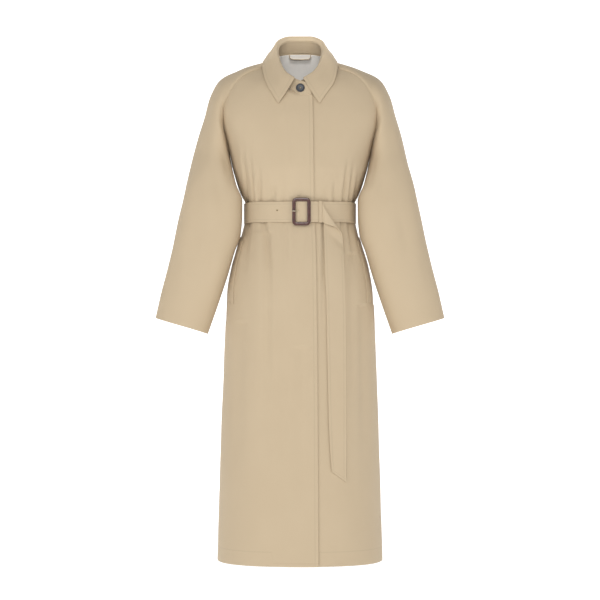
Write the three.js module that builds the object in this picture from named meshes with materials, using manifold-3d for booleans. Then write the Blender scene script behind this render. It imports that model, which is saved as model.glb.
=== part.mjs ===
// A long belted coat with raglan sleeves and a shirt collar, filled out as if it were worn, with nobody in it.
// Millimetres, +Z up. The front faces -Y and the wearer's left is +X. The origin is between the shoulders,
// level with the highest point of the shoulder line, where the coat is held.
import * as THREE from "three";
import { mergeVertices } from "three/addons/utils/BufferGeometryUtils.js";
import Module from "manifold-3d";

const wasm = await Module();
wasm.setup();

// Driving dimensions
const CLOTH_WALL = 2.0;
const COLLAR_WALL = 1.8;
const LINING_WALL = 1.0;
const STRAP_WALL = 1.6;
const WELT_WALL = 2;
const STRAP_WIDTH = 48;
const SEAM_GAP = 0.3;
const HEM_Z = -1208;
const UNDERARM_Z = -262;
const BELT_Z = -372;
const BELT_HALF = 134;
const BELT_FRONT = 107;
const BELT_BACK = 106.5;
const LAP_RAISE = 2.9;
const BUTTON_DIAMETER = 20.8;
const BUCKLE_WIDTH = 44;
const BUCKLE_HEIGHT = 66;
const BUCKLE_BAR = 8.4;
const BUCKLE_X = 3.4;
const EYELET_RADIUS = 1.7;
const SQUARENESS = 0.2; // how far a section is fuller than an ellipse

const V = (x, y, z) => new THREE.Vector3(x, y, z);
const mix = THREE.MathUtils.lerp;
const smoothstep = THREE.MathUtils.smoothstep;

// Rows of numbers under named columns
function table(columns, rows) {
  return rows.map((row) => Object.fromEntries(columns.map((name, i) => [name, row[i]])));
}

// A smooth curve through values at rising positions, which never swings past a value
function curveThrough(at, values) {
  const last = at.length - 1;
  const slope = at.slice(1).map((t, i) => (values[i + 1] - values[i]) / (t - at[i]));
  const tangent = at.map((_, i) => {
    if (i === 0) return slope[0];
    if (i === last) return slope[last - 1];
    const product = slope[i - 1] * slope[i];
    return product <= 0 ? 0 : (2 * product) / (slope[i - 1] + slope[i]);
  });
  return (t) => {
    let i = 0;
    while (i < last - 1 && t > at[i + 1]) i++;
    const width = at[i + 1] - at[i];
    const s = THREE.MathUtils.clamp((t - at[i]) / width, 0, 1);
    const s2 = s * s;
    const s3 = s2 * s;
    return (
      (2 * s3 - 3 * s2 + 1) * values[i] +
      (s3 - 2 * s2 + s) * width * tangent[i] +
      (3 * s2 - 2 * s3) * values[i + 1] +
      (s3 - s2) * width * tangent[i + 1]
    );
  };
}

// The same for points, with x, y and z each their own curve
function pathThrough(at, points) {
  const [x, y, z] = ["x", "y", "z"].map((axis) => curveThrough(at, points.map((p) => p[axis])));
  return (t) => V(x(t), y(t), z(t));
}

// Lengths along a chain of points, from 0 to the whole length
function lengths(points) {
  const out = [0];
  for (let i = 1; i < points.length; i++) out.push(out[i - 1] + points[i].distanceTo(points[i - 1]));
  return out;
}

// Sections of the body below the underarm, from the hem to the chest
const SECTIONS = table(
  ["z", "half", "front", "back"],
  [
    [HEM_Z, 199.5, 149, 150],
    [-992, 193, 143, 146],
    [-871, 189, 139, 143],
    [-702, 181.5, 132, 138],
    [-564, 175.5, 126, 134],
    [-503, 164.5, 121, 129],
    [-460, 151, 115, 122],
    [-414, 137, 107, 111],
    [-394, 132.4, 103.4, 104.4],
    [-370, 130.6, 102, 102.6],
    [-348, 132.4, 103.2, 103.4],
    [-332, 140, 108.5, 106],
    [-313, 148, 113, 107.5],
    [-285, 157, 118, 109],
    [UNDERARM_Z, 163.5, 120, 110],
  ],
);

// Rows of the front over the chest: centre front, raglan seam, and how far the arc between them turns
const CHEST_ROWS = table(
  ["centreZ", "centreY", "seamX", "seamY", "seamZ", "turn", "lift"],
  [
    [-208, -117, 175, -27, -203, 82, 2],
    [-170, -111.5, 183.5, -44, -158, 75, 2],
    [-146, -107, 183.5, -52, -129, 70, 1.9],
    [-128, -102.5, 174, -55, -97, 64, 1.8],
    [-116, -99, 158, -54, -67, 58, 1.7],
    [-107, -96.5, 132, -49, -41, 52, 1.5],
    [-100, -94.8, 98, -38, -26.5, 46, 1.3],
  ],
);

// Rows of the back, as the rows of the front
const YOKE_ROWS = table(
  ["centreZ", "centreY", "seamX", "seamY", "seamZ", "turn", "lift"],
  [
    [-205, 112, 173, 27, -205, 82, 2],
    [-152, 110.5, 175, 43, -152, 75, 2],
    [-104, 106, 169, 51, -110, 70, 1.9],
    [-62, 98, 155, 54, -75, 65, 1.8],
    [-30, 89, 130, 52, -44, 60, 1.7],
    [-4, 80.5, 95, 47, -17, 58, 1.5],
  ],
);

// The collar, from the centre back (0) round to the front (1): the neck seam, the seam of stand and fall,
// the roll line, the middle of the fall and its outer edge
const AROUND = [0, 0.12, 0.24, 0.36, 0.5, 0.64, 0.76, 0.88, 1];
const NECK_SEAM = pathThrough(AROUND, [
  V(0, 70, 24), V(26, 68, 23.5), V(48, 56, 20), V(63.5, 37, 14), V(72, 8, -1),
  V(69, -23, -18), V(57, -52, -44), V(34, -78, -72), V(0, -93.5, -94),
]);
const STAND_TOP = pathThrough(AROUND, [
  V(0, 59, 52), V(24, 57, 51.5), V(41, 45, 45.5), V(50.5, 28, 36), V(53.5, 2, 19),
  V(50, -27, -2), V(43, -51, -23), V(30, -73, -43), V(0, -88.5, -60),
]);
const FALL_SEAM = pathThrough(AROUND, [
  V(0, 57.2, 53.6), V(23.3, 55.3, 53.1), V(39.8, 43.7, 47.1), V(49, 27.4, 37.7), V(51.8, 2, 20.8),
  V(48.4, -26.2, 0.5), V(41.6, -49.6, -20.2), V(30.4, -69.6, -38.8), V(13, -83.4, -50.8),
]);
const ROLL = pathThrough(AROUND, [
  V(0, 64.5, 65.5), V(26.5, 62, 65), V(46, 49, 58), V(56, 30, 48), V(59, 2, 30),
  V(55, -30, 8), V(47, -57, -14), V(34, -79, -36), V(13, -92, -52),
]);
const FALL_MIDDLE = pathThrough(AROUND, [
  V(0, 77, 35), V(33, 74, 34), V(57, 60, 30), V(69, 37, 26), V(74.5, 4, 17),
  V(75, -36, -5), V(66, -65, -36), V(50, -88, -64), V(33, -99.5, -86),
]);
const FALL_EDGE = pathThrough(AROUND, [
  V(0, 84.5, -2), V(36, 81.5, -2), V(66, 71.5, -3), V(87, 46, 3.5), V(89, 4, -1.5),
  V(91, -36, -16), V(83, -75, -56), V(69, -91, -84), V(51.5, -102, -114),
]);
const FRONT_SEAM_AT = 0.64;
const BACK_SEAM_AT = 0.36;

// How far the wearer's left point of the collar lies nearer the centre than the right one
const LEFT_POINT_IN = 5;

// The outer line of the sleeve from the neck over the shoulder to the level of the underarm
const SHOULDER_LINE = [
  V(72, 8, -1), V(88, 8, -6), V(109, 7.5, -12), V(132, 7, -19), V(156, 6, -29), V(178, 5, -39),
  V(191, 4, -48), V(200, 3, -58), V(210.5, 2, -77), V(219, 1, -97), V(230, 0, -136), V(245.5, -1, -184),
  V(252.5, -2, -214),
];

// Sleeve sections below the underarm: inner line, outer line, middle, half depth, and how far the front of
// the sleeve reaches in over the body
const SLEEVE_SECTIONS = table(
  ["innerX", "innerZ", "outerX", "outerZ", "middleY", "halfDepth", "reach"],
  [
    [153.5, -303, 262, -258, -17, 60, 18],
    [138.5, -343, 273.5, -303, -27, 57, 20],
    [138.5, -376, 282.5, -345, -33, 54, 20],
    [142.4, -424, 293, -392, -35, 52, 18],
    [157, -466, 303, -440, -36, 50, 16],
    [172.6, -520, 318, -505, -36, 48, 13],
    [195.5, -589, 334, -566.5, -36, 45, 9],
    [221, -662, 346.5, -624, -36, 42, 4],
  ],
);

// Half depth of the sleeve's front and back above the underarm, along the seams
const SLEEVE_DEPTH_AT = [0, 0.12, 0.24, 0.36, 0.5, 0.65, 0.8, 1];
const SLEEVE_FRONT_DEPTH = curveThrough(SLEEVE_DEPTH_AT, [31.5, 46.5, 56, 60.5, 62, 63, 63, 62]);
const SLEEVE_BACK_DEPTH = curveThrough(SLEEVE_DEPTH_AT, [29, 40, 49, 54, 58, 61, 62, 61]);
const SLEEVE_REACH = curveThrough(SLEEVE_DEPTH_AT, [0, 0, 0, 0, 1, 4, 8, 12]);
const REACH_TO_ONE = 0.84;

// Creases, as soft troughs: x and z at the top and bottom in the view from the front or the back
const CREASE_COLUMNS = ["topX", "topZ", "bottomX", "bottomZ", "depth", "width"];
const FRONT_CREASES = table(CREASE_COLUMNS, [
  [-139, -205, -129, -352, 5, 7],
  [-122, -225, -110, -352, 4.5, 7],
  [-98, -258, -96, -352, 3, 7],
  [-61, -290, -63, -352, 2, 8],
  [116, -232, 104, -352, 4, 7],
  [134, -200, 120, -352, 5, 8],
  [145, -268, 131, -352, 4, 6],
  [70, -290, 68, -352, 2, 8],
  [-88, -388, -78, -960, 7, 17],
  [-122, -388, -132, -560, 5, 10],
  [-30, -388, -24, -620, 2.5, 16],
  [104, -388, 114, -620, 6, 10],
  [124, -388, 138, -520, 4, 8],
  [150, -600, 154, -1060, 6, 18],
]);
const BACK_CREASES = table(CREASE_COLUMNS, [
  [-134, -215, -122, -352, 5, 8],
  [-104, -235, -98, -352, 4, 7],
  [-66, -262, -62, -352, 3, 8],
  [-18, -280, -16, -352, 2, 8],
  [38, -270, 34, -352, 2.5, 8],
  [88, -240, 80, -352, 4, 7],
  [128, -212, 116, -352, 5, 8],
  [-112, -388, -126, -820, 6, 14],
  [-62, -388, -74, -980, 5, 16],
  [-6, -388, -4, -700, 3, 14],
  [48, -388, 58, -940, 5.5, 16],
  [104, -388, 120, -760, 6, 13],
]);

// How far the cloth sinks at a place in that view
function sinkAt(creases, x, z) {
  let sink = 0;
  for (const c of creases) {
    const along = (c.topZ - z) / (c.topZ - c.bottomZ);
    if (along < 0 || along > 1) continue;
    const centre = mix(c.topX, c.bottomX, along);
    const startsOpen = c.topZ > BELT_Z;
    const fade = startsOpen ? smoothstep(along, 0, 0.7) : 1 - smoothstep(along, 0.25, 1);
    sink += c.depth * fade * Math.exp(-(((x - centre) / c.width) ** 2));
  }
  return sink;
}

// A quarter of a body section: turn 0 is the centre, turn 1 the side
function ringRow(section, depth, sign) {
  return (turn) => {
    const angle = (turn * Math.PI) / 2;
    const full = 1 + SQUARENESS * Math.sin(angle) ** 2;
    return V(section.half * Math.sin(angle), sign * depth * Math.cos(angle) * full, section.z);
  };
}

// A row over the chest or the shoulders: an arc from the centre to the raglan seam
function arcRow(row) {
  const end = THREE.MathUtils.degToRad(row.turn);
  const reach = (angle) => Math.cos(angle) * (1 + SQUARENESS * Math.sin(angle) ** 2);
  return (turn) => {
    const angle = turn * end;
    const across = (1 - reach(angle)) / (1 - reach(end));
    return V(
      (row.seamX * Math.sin(angle)) / Math.sin(end),
      mix(row.centreY, row.seamY, across),
      mix(row.centreZ, row.seamZ, turn ** row.lift),
    );
  };
}

// A half panel lofted through its rows, from the hem (0) to the neck (1)
function halfPanel(rows) {
  const beside = lengths(rows.map((row) => row(1)));
  const middle = lengths(rows.map((row) => row(0)));
  const knots = beside.map((length, i) => (length + middle[i]) / 2);
  const whole = knots[knots.length - 1];
  const at = (turn, up) => pathThrough(knots, rows.map((row) => row(turn)))(up * whole);
  return { at, knots: knots.map((k) => k / whole) };
}

const LOWER = SECTIONS.length;
const frontHalf = halfPanel([
  ...SECTIONS.map((s) => ringRow(s, s.front, -1)),
  ...CHEST_ROWS.map(arcRow),
  (turn) => NECK_SEAM(mix(1, FRONT_SEAM_AT, turn)),
]);
const backHalf = halfPanel([
  ...SECTIONS.map((s) => ringRow(s, s.back, 1)),
  ...YOKE_ROWS.map(arcRow),
  (turn) => NECK_SEAM(mix(0, BACK_SEAM_AT, turn)),
]);

// The turn of a half panel at which it reaches a distance from the centre
function turnAt(half, x, up) {
  let low = 0;
  let high = 1;
  for (let i = 0; i < 24; i++) {
    const turn = (low + high) / 2;
    if (half.at(turn, up).x < x) low = turn;
    else high = turn;
  }
  return (low + high) / 2;
}

// The height, from 0 to 1, at which a half panel reaches a level
function upAt(half, z, turn = 1) {
  let low = 0;
  let high = 1;
  for (let i = 0; i < 24; i++) {
    const up = (low + high) / 2;
    if (half.at(turn, up).z < z) low = up;
    else high = up;
  }
  return (low + high) / 2;
}

// Moves a point of the body in or out, square to the section
function moved(point, out) {
  const across = V(point.x / 1.3, point.y, 0).normalize();
  return point.clone().addScaledVector(across, out);
}

// How far the front that lies on top is raised off the one under it
const lapAt = (x) => LAP_RAISE * smoothstep(x, -60, -24);

// The mirror image of a point on the wearer's left, raised where the right side lies on top at the front
const onTop = (p) => V(-p.x, p.y - lapAt(-p.x) * smoothstep(-p.y, 15, 60), p.z);

// A point of a front. side is -1 for the wearer's right. A negative turn is past the centre front,
// where the neckline runs straight on instead of rising again.
function frontPoint(side, turn, up) {
  const point = frontHalf.at(Math.abs(turn), up);
  if (turn < 0) {
    const centre = frontHalf.at(0, up);
    const straight = smoothstep(up, frontHalf.knots[LOWER - 1], 1);
    point.z = mix(point.z, centre.z, straight);
    if (side < 0) point.y = mix(point.y, centre.y, straight);
    point.x *= -1;
  }
  point.x *= side;
  const lapped = side < 0 ? lapAt(point.x) : 0;
  return moved(point, lapped - sinkAt(FRONT_CREASES, point.x, point.z));
}

function backPoint(turn, up) {
  const point = backHalf.at(Math.abs(turn), up);
  point.x *= Math.sign(turn) || 1;
  return moved(point, -sinkAt(BACK_CREASES, point.x, point.z));
}

// A grid of points from two lists of parameters
const gridOf = (ups, turns, pointAt) => ups.map((up, i) => turns.map((turn, j) => pointAt(turn, up, i, j)));

// Draws the edges of a grid in, so that neighbouring pieces stay a seam apart
function drawnIn(grid, { first = 0, last = 0, bottom = 0, top = 0 }) {
  const step = (from, to, by) => from.clone().add(to.clone().sub(from).normalize().multiplyScalar(by));
  const out = grid.map((row) => row.map((p) => p.clone()));
  const end = grid[0].length - 1;
  const high = grid.length - 1;
  grid.forEach((row, i) => {
    if (first) out[i][0] = step(row[0], row[1], first);
    if (last) out[i][end] = step(row[end], row[end - 1], last);
  });
  out[0].forEach((p, j) => bottom && out[0][j].copy(step(p, out[1][j], bottom)));
  out[high].forEach((p, j) => top && out[high][j].copy(step(p, out[high - 1][j], top)));
  return out;
}

// The outward direction at each point of a grid. facing is the way that the middle of the grid faces outside.
// joined says for which rows the first and last columns are one line.
function outwardOf(grid, facing, joined = () => false, closedRows = false) {
  const rows = grid.length;
  const columns = grid[0].length;
  const clampRow = (i) => (closedRows ? (i + rows - 1) % (rows - 1) : THREE.MathUtils.clamp(i, 0, rows - 1));
  const across = (i, j) => {
    if (joined(i)) {
      const before = j === 0 ? columns - 2 : j - 1;
      const after = j === columns - 1 ? 1 : j + 1;
      return grid[i][after].clone().sub(grid[i][before]);
    }
    return grid[i][Math.min(j + 1, columns - 1)].clone().sub(grid[i][Math.max(j - 1, 0)]);
  };
  const normalAt = (i, j) => {
    const along = grid[clampRow(i + 1)][j].clone().sub(grid[clampRow(i - 1)][j]);
    return along.cross(across(i, j)).normalize();
  };
  const normals = grid.map((row, i) => row.map((_, j) => normalAt(i, j)));
  const middle = normals[Math.floor(rows / 2)][Math.floor(columns / 2)];
  const sign = middle.dot(facing) > 0 ? 1 : -1;
  normals.forEach((row) => row.forEach((n) => n.multiplyScalar(sign)));
  return { normals, sign };
}

// A grid moved out along its own outward directions
function movedOut(grid, distance, facing) {
  const { normals } = outwardOf(grid, facing);
  return grid.map((row, i) => row.map((p, j) => p.clone().addScaledVector(normals[i][j], distance)));
}

// Turns a grid of points into a closed wall. The inner corners of an open edge are eased by bevel,
// so that two walls that meet at an angle stay apart inside.
function wallOf(grid, wall, facing, { joined = () => false, closedRows = false, bevel = 0 } = {}) {
  const rows = grid.length;
  const columns = grid[0].length;
  const { normals, sign } = outwardOf(grid, facing, joined, closedRows);
  const eased = (point, row, column) => {
    const towards = (other) => point.addScaledVector(other.clone().sub(grid[row][column]).normalize(), bevel);
    if (!bevel) return;
    if (!joined(row) && column === 0) towards(grid[row][1]);
    if (!joined(row) && column === columns - 1) towards(grid[row][columns - 2]);
    if (!closedRows && row === 0) towards(grid[1][column]);
    if (!closedRows && row === rows - 1) towards(grid[rows - 2][column]);
  };
  const positions = [];
  const ids = new Map();
  const id = (i, j, inside) => {
    const row = closedRows && i === rows - 1 ? 0 : i;
    const column = joined(row) && j === columns - 1 ? 0 : j;
    const key = `${row},${column},${inside}`;
    if (!ids.has(key)) {
      const point = grid[row][column].clone();
      if (inside) {
        point.addScaledVector(normals[row][column], -wall);
        eased(point, row, column);
      }
      ids.set(key, positions.length / 3);
      positions.push(point.x, point.y, point.z);
    }
    return ids.get(key);
  };
  const faces = [];
  const quad = (a, b, c, d) => {
    const corners = sign > 0 ? [a, b, c, d] : [a, d, c, b];
    faces.push(corners[0], corners[1], corners[2], corners[0], corners[2], corners[3]);
  };
  for (let i = 0; i < rows - 1; i++) {
    for (let j = 0; j < columns - 1; j++) {
      quad(id(i, j, 0), id(i + 1, j, 0), id(i + 1, j + 1, 0), id(i, j + 1, 0));
      quad(id(i, j, 1), id(i, j + 1, 1), id(i + 1, j + 1, 1), id(i + 1, j, 1));
    }
    if (!(joined(i) && joined(i + 1))) {
      quad(id(i, 0, 0), id(i, 0, 1), id(i + 1, 0, 1), id(i + 1, 0, 0));
      const end = columns - 1;
      quad(id(i, end, 0), id(i + 1, end, 0), id(i + 1, end, 1), id(i, end, 1));
    }
  }
  for (let j = 0; j < columns - 1 && !closedRows; j++) {
    quad(id(0, j, 0), id(0, j + 1, 0), id(0, j + 1, 1), id(0, j, 1));
    quad(id(rows - 1, j, 0), id(rows - 1, j, 1), id(rows - 1, j + 1, 1), id(rows - 1, j + 1, 0));
  }
  const geometry = new THREE.BufferGeometry();
  geometry.setAttribute("position", new THREE.Float32BufferAttribute(positions, 3));
  geometry.setIndex(faces.filter((_, k) => {
    const t = k - (k % 3);
    return faces[t] !== faces[t + 1] && faces[t + 1] !== faces[t + 2] && faces[t] !== faces[t + 2];
  }));
  return geometry;
}

// A closed geometry as a solid that can be cut and joined, and back again
function solidOf(geometry) {
  const plain = geometry.clone();
  plain.deleteAttribute("normal");
  plain.deleteAttribute("uv");
  const merged = mergeVertices(plain, 1e-3);
  return new wasm.Manifold(
    new wasm.Mesh({
      numProp: 3,
      vertProperties: merged.attributes.position.array,
      triVerts: new Uint32Array(merged.index.array),
    }),
  );
}

function geometryOf(solid) {
  const mesh = solid.getMesh();
  const geometry = new THREE.BufferGeometry();
  geometry.setAttribute("position", new THREE.BufferAttribute(mesh.vertProperties, 3));
  geometry.setIndex(new THREE.BufferAttribute(mesh.triVerts, 1));
  return geometry;
}

// Materials
const cloth = (name) => new THREE.MeshStandardMaterial({ name, color: 0xcfb994, roughness: 0.85, metalness: 0 });
const liningCloth = () => new THREE.MeshStandardMaterial({ name: "lining", color: 0xd8d3c9, roughness: 0.8 });
const darkHorn = () => new THREE.MeshStandardMaterial({ name: "button", color: 0x23252c, roughness: 0.35 });
const brownLacquer = () => new THREE.MeshStandardMaterial({ name: "buckle", color: 0x3f2722, roughness: 0.3 });
const pinMetal = () => new THREE.MeshStandardMaterial({ name: "pin", color: 0xb9a88a, roughness: 0.3, metalness: 1 });

const coat = new THREE.Group();
function add(name, geometry, material) {
  geometry.computeVertexNormals();
  const mesh = new THREE.Mesh(geometry, material);
  mesh.name = name;
  coat.add(mesh);
}

const EDGE_IN = SEAM_GAP * 0.8;
const CHEST_STEPS = 9;
const EDGE_BEVEL = 1.5;

// Levels of the rows of a body panel, closer where the cloth bends most
function levels(half, spans) {
  const ups = [];
  spans.forEach(([from, to, count]) => {
    for (let i = 0; i < count; i++) ups.push(mix(upAt(half, from), upAt(half, to), i / count));
  });
  const underarm = half.knots[LOWER - 1];
  for (let i = 0; i <= CHEST_STEPS; i++) ups.push(mix(underarm, 1, i / CHEST_STEPS));
  return ups;
}
const SKIRT_SPANS = [
  [HEM_Z, -560, 7],
  [-560, -398, 6],
  [-398, -346, 2],
  [-346, UNDERARM_Z, 4],
];

// The closing edge of the front that lies on top, and of the one under it
const EDGE_LEVELS = [HEM_Z, -850, -640, -470, -350, -120, -94];
const CLOSING_EDGE = curveThrough(EDGE_LEVELS, [43, 41, 39.5, 37, 32.5, 29.5, 28.5]);
const UNDERLAP = 20;

function front(side) {
  const ups = levels(frontHalf, SKIRT_SPANS);
  const columns = 22;
  const grid = ups.map((up) => {
    const reach = side < 0 ? CLOSING_EDGE(frontHalf.at(0, up).z) : UNDERLAP;
    const start = -turnAt(frontHalf, reach, up);
    return Array.from({ length: columns }, (_, j) => frontPoint(side, mix(start, 1, j / (columns - 1)), up));
  });
  return wallOf(drawnIn(grid, { last: EDGE_IN, top: EDGE_IN }), CLOTH_WALL, V(0, -1, 0), { bevel: EDGE_BEVEL });
}

function back() {
  const ups = levels(backHalf, SKIRT_SPANS);
  const columns = 27;
  const turns = Array.from({ length: columns }, (_, j) => mix(-1, 1, j / (columns - 1)));
  const grid = gridOf(ups, turns, backPoint);
  const edges = drawnIn(grid, { first: EDGE_IN, last: EDGE_IN, top: EDGE_IN });
  return wallOf(edges, CLOTH_WALL, V(0, 1, 0), { bevel: EDGE_BEVEL });
}

// The raglan seam of a half panel, from the neck (0) to the underarm (1)
const seamPoint = (half, s) => half.at(1, mix(1, half.knots[LOWER - 1], s));
const shoulderLengths = lengths(SHOULDER_LINE);
const shoulderPath = pathThrough(shoulderLengths, SHOULDER_LINE);
const shoulderLine = (s) => shoulderPath(s * shoulderLengths[shoulderLengths.length - 1]);

// Half of a sleeve section, from a seam (0) to the outer line (1)
function sleeveArc(seam, outer, middleY, depth, sign, t, reach = 0) {
  const rise = Math.min(Math.abs(seam.y - middleY) / depth, 0.9999);
  const start = Math.asin(rise);
  const angle = mix(start, Math.PI, t);
  const across = (Math.cos(start) - Math.cos(angle)) / (Math.cos(start) + 1);
  const inward = REACH_TO_ONE * Math.sin(t * Math.PI) ** 2 * (1 + Math.cos(t * Math.PI));
  return V(
    mix(seam.x, outer.x, across) - reach * inward,
    middleY + sign * depth * Math.sin(angle),
    mix(seam.z, outer.z, across),
  );
}

const SLEEVE_HALF_COLUMNS = 10;
function sleeveRow(frontEdge, backEdge, outer, middleY, frontDepth, backDepth, reach) {
  const row = [];
  for (let j = 0; j <= SLEEVE_HALF_COLUMNS; j++) {
    row.push(sleeveArc(frontEdge, outer, middleY, frontDepth, -1, j / SLEEVE_HALF_COLUMNS, reach));
  }
  for (let j = SLEEVE_HALF_COLUMNS - 1; j >= 0; j--) {
    row.push(sleeveArc(backEdge, outer, middleY, backDepth, 1, j / SLEEVE_HALF_COLUMNS));
  }
  return row;
}

// The rows of a sleeve on the wearer's left, from the neck to the cuff
function sleeveRows() {
  const rows = [];
  for (let i = 0; i < CHEST_STEPS; i++) {
    const s = i / CHEST_STEPS;
    const outer = shoulderLine(s);
    const frontEdge = seamPoint(frontHalf, s);
    const backEdge = seamPoint(backHalf, s);
    const frontDepth = Math.max(SLEEVE_FRONT_DEPTH(s), (outer.y - frontEdge.y) * 1.001);
    const backDepth = Math.max(SLEEVE_BACK_DEPTH(s), (backEdge.y - outer.y) * 1.001);
    rows.push(sleeveRow(frontEdge, backEdge, outer, outer.y, frontDepth, backDepth, SLEEVE_REACH(s)));
  }
  const underarm = seamPoint(frontHalf, 1).add(V(2 * SEAM_GAP, 0, 0));
  const outer = shoulderLine(1);
  const first = {
    innerX: underarm.x, innerZ: underarm.z, outerX: outer.x, outerZ: outer.z, middleY: outer.y, halfDepth: 62,
    reach: SLEEVE_REACH(1),
  };
  const stations = [first, ...SLEEVE_SECTIONS];
  const at = stations.map((_, i) => i);
  const read = (name) => curveThrough(at, stations.map((s) => s[name]));
  const [innerX, innerZ, outerX, outerZ, middleY, halfDepth, reach] = Object.keys(first).map(read);
  const lowerRows = 12;
  for (let i = 0; i <= lowerRows; i++) {
    const t = (i / lowerRows) * (stations.length - 1);
    const inner = V(innerX(t), middleY(t), innerZ(t));
    const out = V(outerX(t), middleY(t), outerZ(t));
    rows.push(sleeveRow(inner, inner, out, middleY(t), halfDepth(t), halfDepth(t), reach(t)));
  }
  return rows;
}

function sleeve(side) {
  const rows = sleeveRows();
  const isJoined = (i) => i >= CHEST_STEPS;
  const open = drawnIn(rows, { first: EDGE_IN, last: 2 * EDGE_IN, bottom: EDGE_IN });
  const grid = rows.map((row, i) => (isJoined(i) ? row : open[i]));
  grid[0] = open[0];
  grid.forEach((row) => row.forEach((p) => (p.x *= side)));
  return wallOf(grid, CLOTH_WALL, V(side, 0, 0), { joined: isJoined, bevel: EDGE_BEVEL });
}

// The fall of the collar: from the seam inside, over the roll, down to the outer edge
function collarFall() {
  const lines = [FALL_SEAM, ROLL, FALL_MIDDLE, FALL_EDGE];
  const across = [0, 0.12, 0.24, 0.42, 0.6, 0.8, 1];
  const lineAt = [0, 0.2, 0.55, 1];
  const aroundHalf = 17;
  const columns = [];
  for (let i = -aroundHalf; i <= aroundHalf; i++) {
    const side = Math.sign(i) || 1;
    const points = lines.map((line) => line(Math.abs(i) / aroundHalf));
    const section = pathThrough(lineAt, points);
    columns.push(
      across.map((t) => {
        const point = section(t);
        if (side < 0) return onTop(point);
        point.x -= LEFT_POINT_IN * smoothstep(i / aroundHalf, 0.75, 1);
        return point;
      }),
    );
  }
  return wallOf(columns, COLLAR_WALL, V(0, 1, 0.3));
}

// The stand: a band that laps at the front, the wearer's right end over the left
function collarStand() {
  const inset = 2.9;
  const stations = [];
  const put = (base, top) => stations.push([base, top]);
  put(V(-19, -85, -90), V(-16, -82, -64));
  const steps = 15;
  for (let i = 0; i <= steps; i++) {
    const at = 1 - i / steps;
    const inward = inset * smoothstep(at, 0.72, 0.92);
    const base = NECK_SEAM(at).add(V(0, inward, 2 * SEAM_GAP));
    const top = STAND_TOP(at).add(V(0, inward, 0));
    put(base, top);
  }
  for (let i = 1; i <= steps; i++) {
    put(onTop(NECK_SEAM(i / steps).add(V(0, 0, 3 * SEAM_GAP))), onTop(STAND_TOP(i / steps)));
  }
  const endColumns = table(
    ["x", "topZ"],
    [
      [9, -62],
      [18, -66],
      [24, -72.5],
      [27.5, -82],
    ],
  );
  endColumns.forEach((c) => {
    const ease = c.x / 28;
    const front = NECK_SEAM(1).y - LAP_RAISE;
    put(V(c.x, front, NECK_SEAM(1).z + 3 * SEAM_GAP), V(c.x, front + mix(5, 1.5, ease), c.topZ));
  });
  const rows = stations.map(([base, top]) => [0, 0.5, 1].map((t) => base.clone().lerp(top, t)));
  return wallOf(rows, COLLAR_WALL, V(0, 1, 0));
}

// The lining that shows inside the back neck, made from the back's own points, moved in
function backLining() {
  const lowest = -118;
  const halfWidth = 78;
  const ups = Array.from({ length: 7 }, (_, i) => mix(upAt(backHalf, lowest, 0), 0.997, i / 6));
  const grid = ups.map((up) => {
    const widest = Math.min(0.96, turnAt(backHalf, halfWidth, up));
    return Array.from({ length: 15 }, (_, j) => backPoint(mix(-widest, widest, j / 14), up));
  });
  return wallOf(movedOut(grid, -CLOTH_WALL - 2 * SEAM_GAP, V(0, 1, 0)), LINING_WALL, V(0, 1, 0));
}

// The loop that hangs inside the back neck
function hangerLoop() {
  const halfSpan = 26;
  const droop = 12;
  const cord = 4.6;
  const wall = 1.4;
  const seatY = 64.2;
  const freeY = 69.4;
  const rows = [];
  for (let i = 0; i <= 20; i++) {
    const t = mix(-1, 1, i / 20);
    const x = halfSpan * Math.sin((t * Math.PI) / 2);
    const sag = Math.sqrt(Math.max(0, 1 - Math.abs(t) ** 3.2));
    const z = 20.5 - droop * sag;
    const y = mix(seatY, freeY, 1 - t * t);
    const half = cord / 2;
    rows.push([V(x, y, z + half), V(x, y, z - half)]);
  }
  return wallOf(rows, wall, V(0, 1, 0));
}

// A place round the waist: angle from the centre front, distance out from the belt's inner face
function waist(angle, out, z) {
  const full = 1 + SQUARENESS * Math.sin(angle) ** 2;
  const depth = Math.abs(angle) < Math.PI / 2 ? BELT_FRONT : BELT_BACK;
  return V((BELT_HALF + out) * Math.sin(angle), -(depth + out) * Math.cos(angle) * full, z);
}

// The buckle's centre bar, and the layers of strap at it
const BAR_RADIUS = 1.5;
const MIDDLE = STRAP_WALL / 2;
const BAR_Y = -(BELT_FRONT + STRAP_WALL + SEAM_GAP + BAR_RADIUS);
const BAR_TURN = BAR_RADIUS + SEAM_GAP + MIDDLE;
const KEEPER_X = 46.6;
const KEEPER_WALL = 1.2;
const KEEPER_WIDTH = 7.6;
const KEEPER_ANGLE = Math.asin(KEEPER_X / (BELT_HALF + MIDDLE));
const INNER_LAYER_OUT = 2.6;
const OUTER_LAYER_OUT = 4.8;

// The free end where it turns down and folds back: its upper and lower edge
const TURNED_END = table(
  ["topX", "topY", "topZ", "lowX", "lowY", "lowZ"],
  [
    [53.2, -107, -350.5, 62, -108, -401],
    [54.3, -106.8, -354, 74, -107.6, -406.5],
    [55, -106.6, -358, 86, -104.6, -412.5],
    [55.4, -106.2, -362, 95.5, -100.6, -424],
    [55.7, -105.6, -366, 99.9, -97.2, -433],
    [55.9, -104.9, -370, 100.9, -94.4, -437],
    [56.2, -104.3, -384, 101.4, -92.6, -445],
    [56.8, -105.2, -408, 102.4, -91.6, -455],
  ],
);

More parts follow.
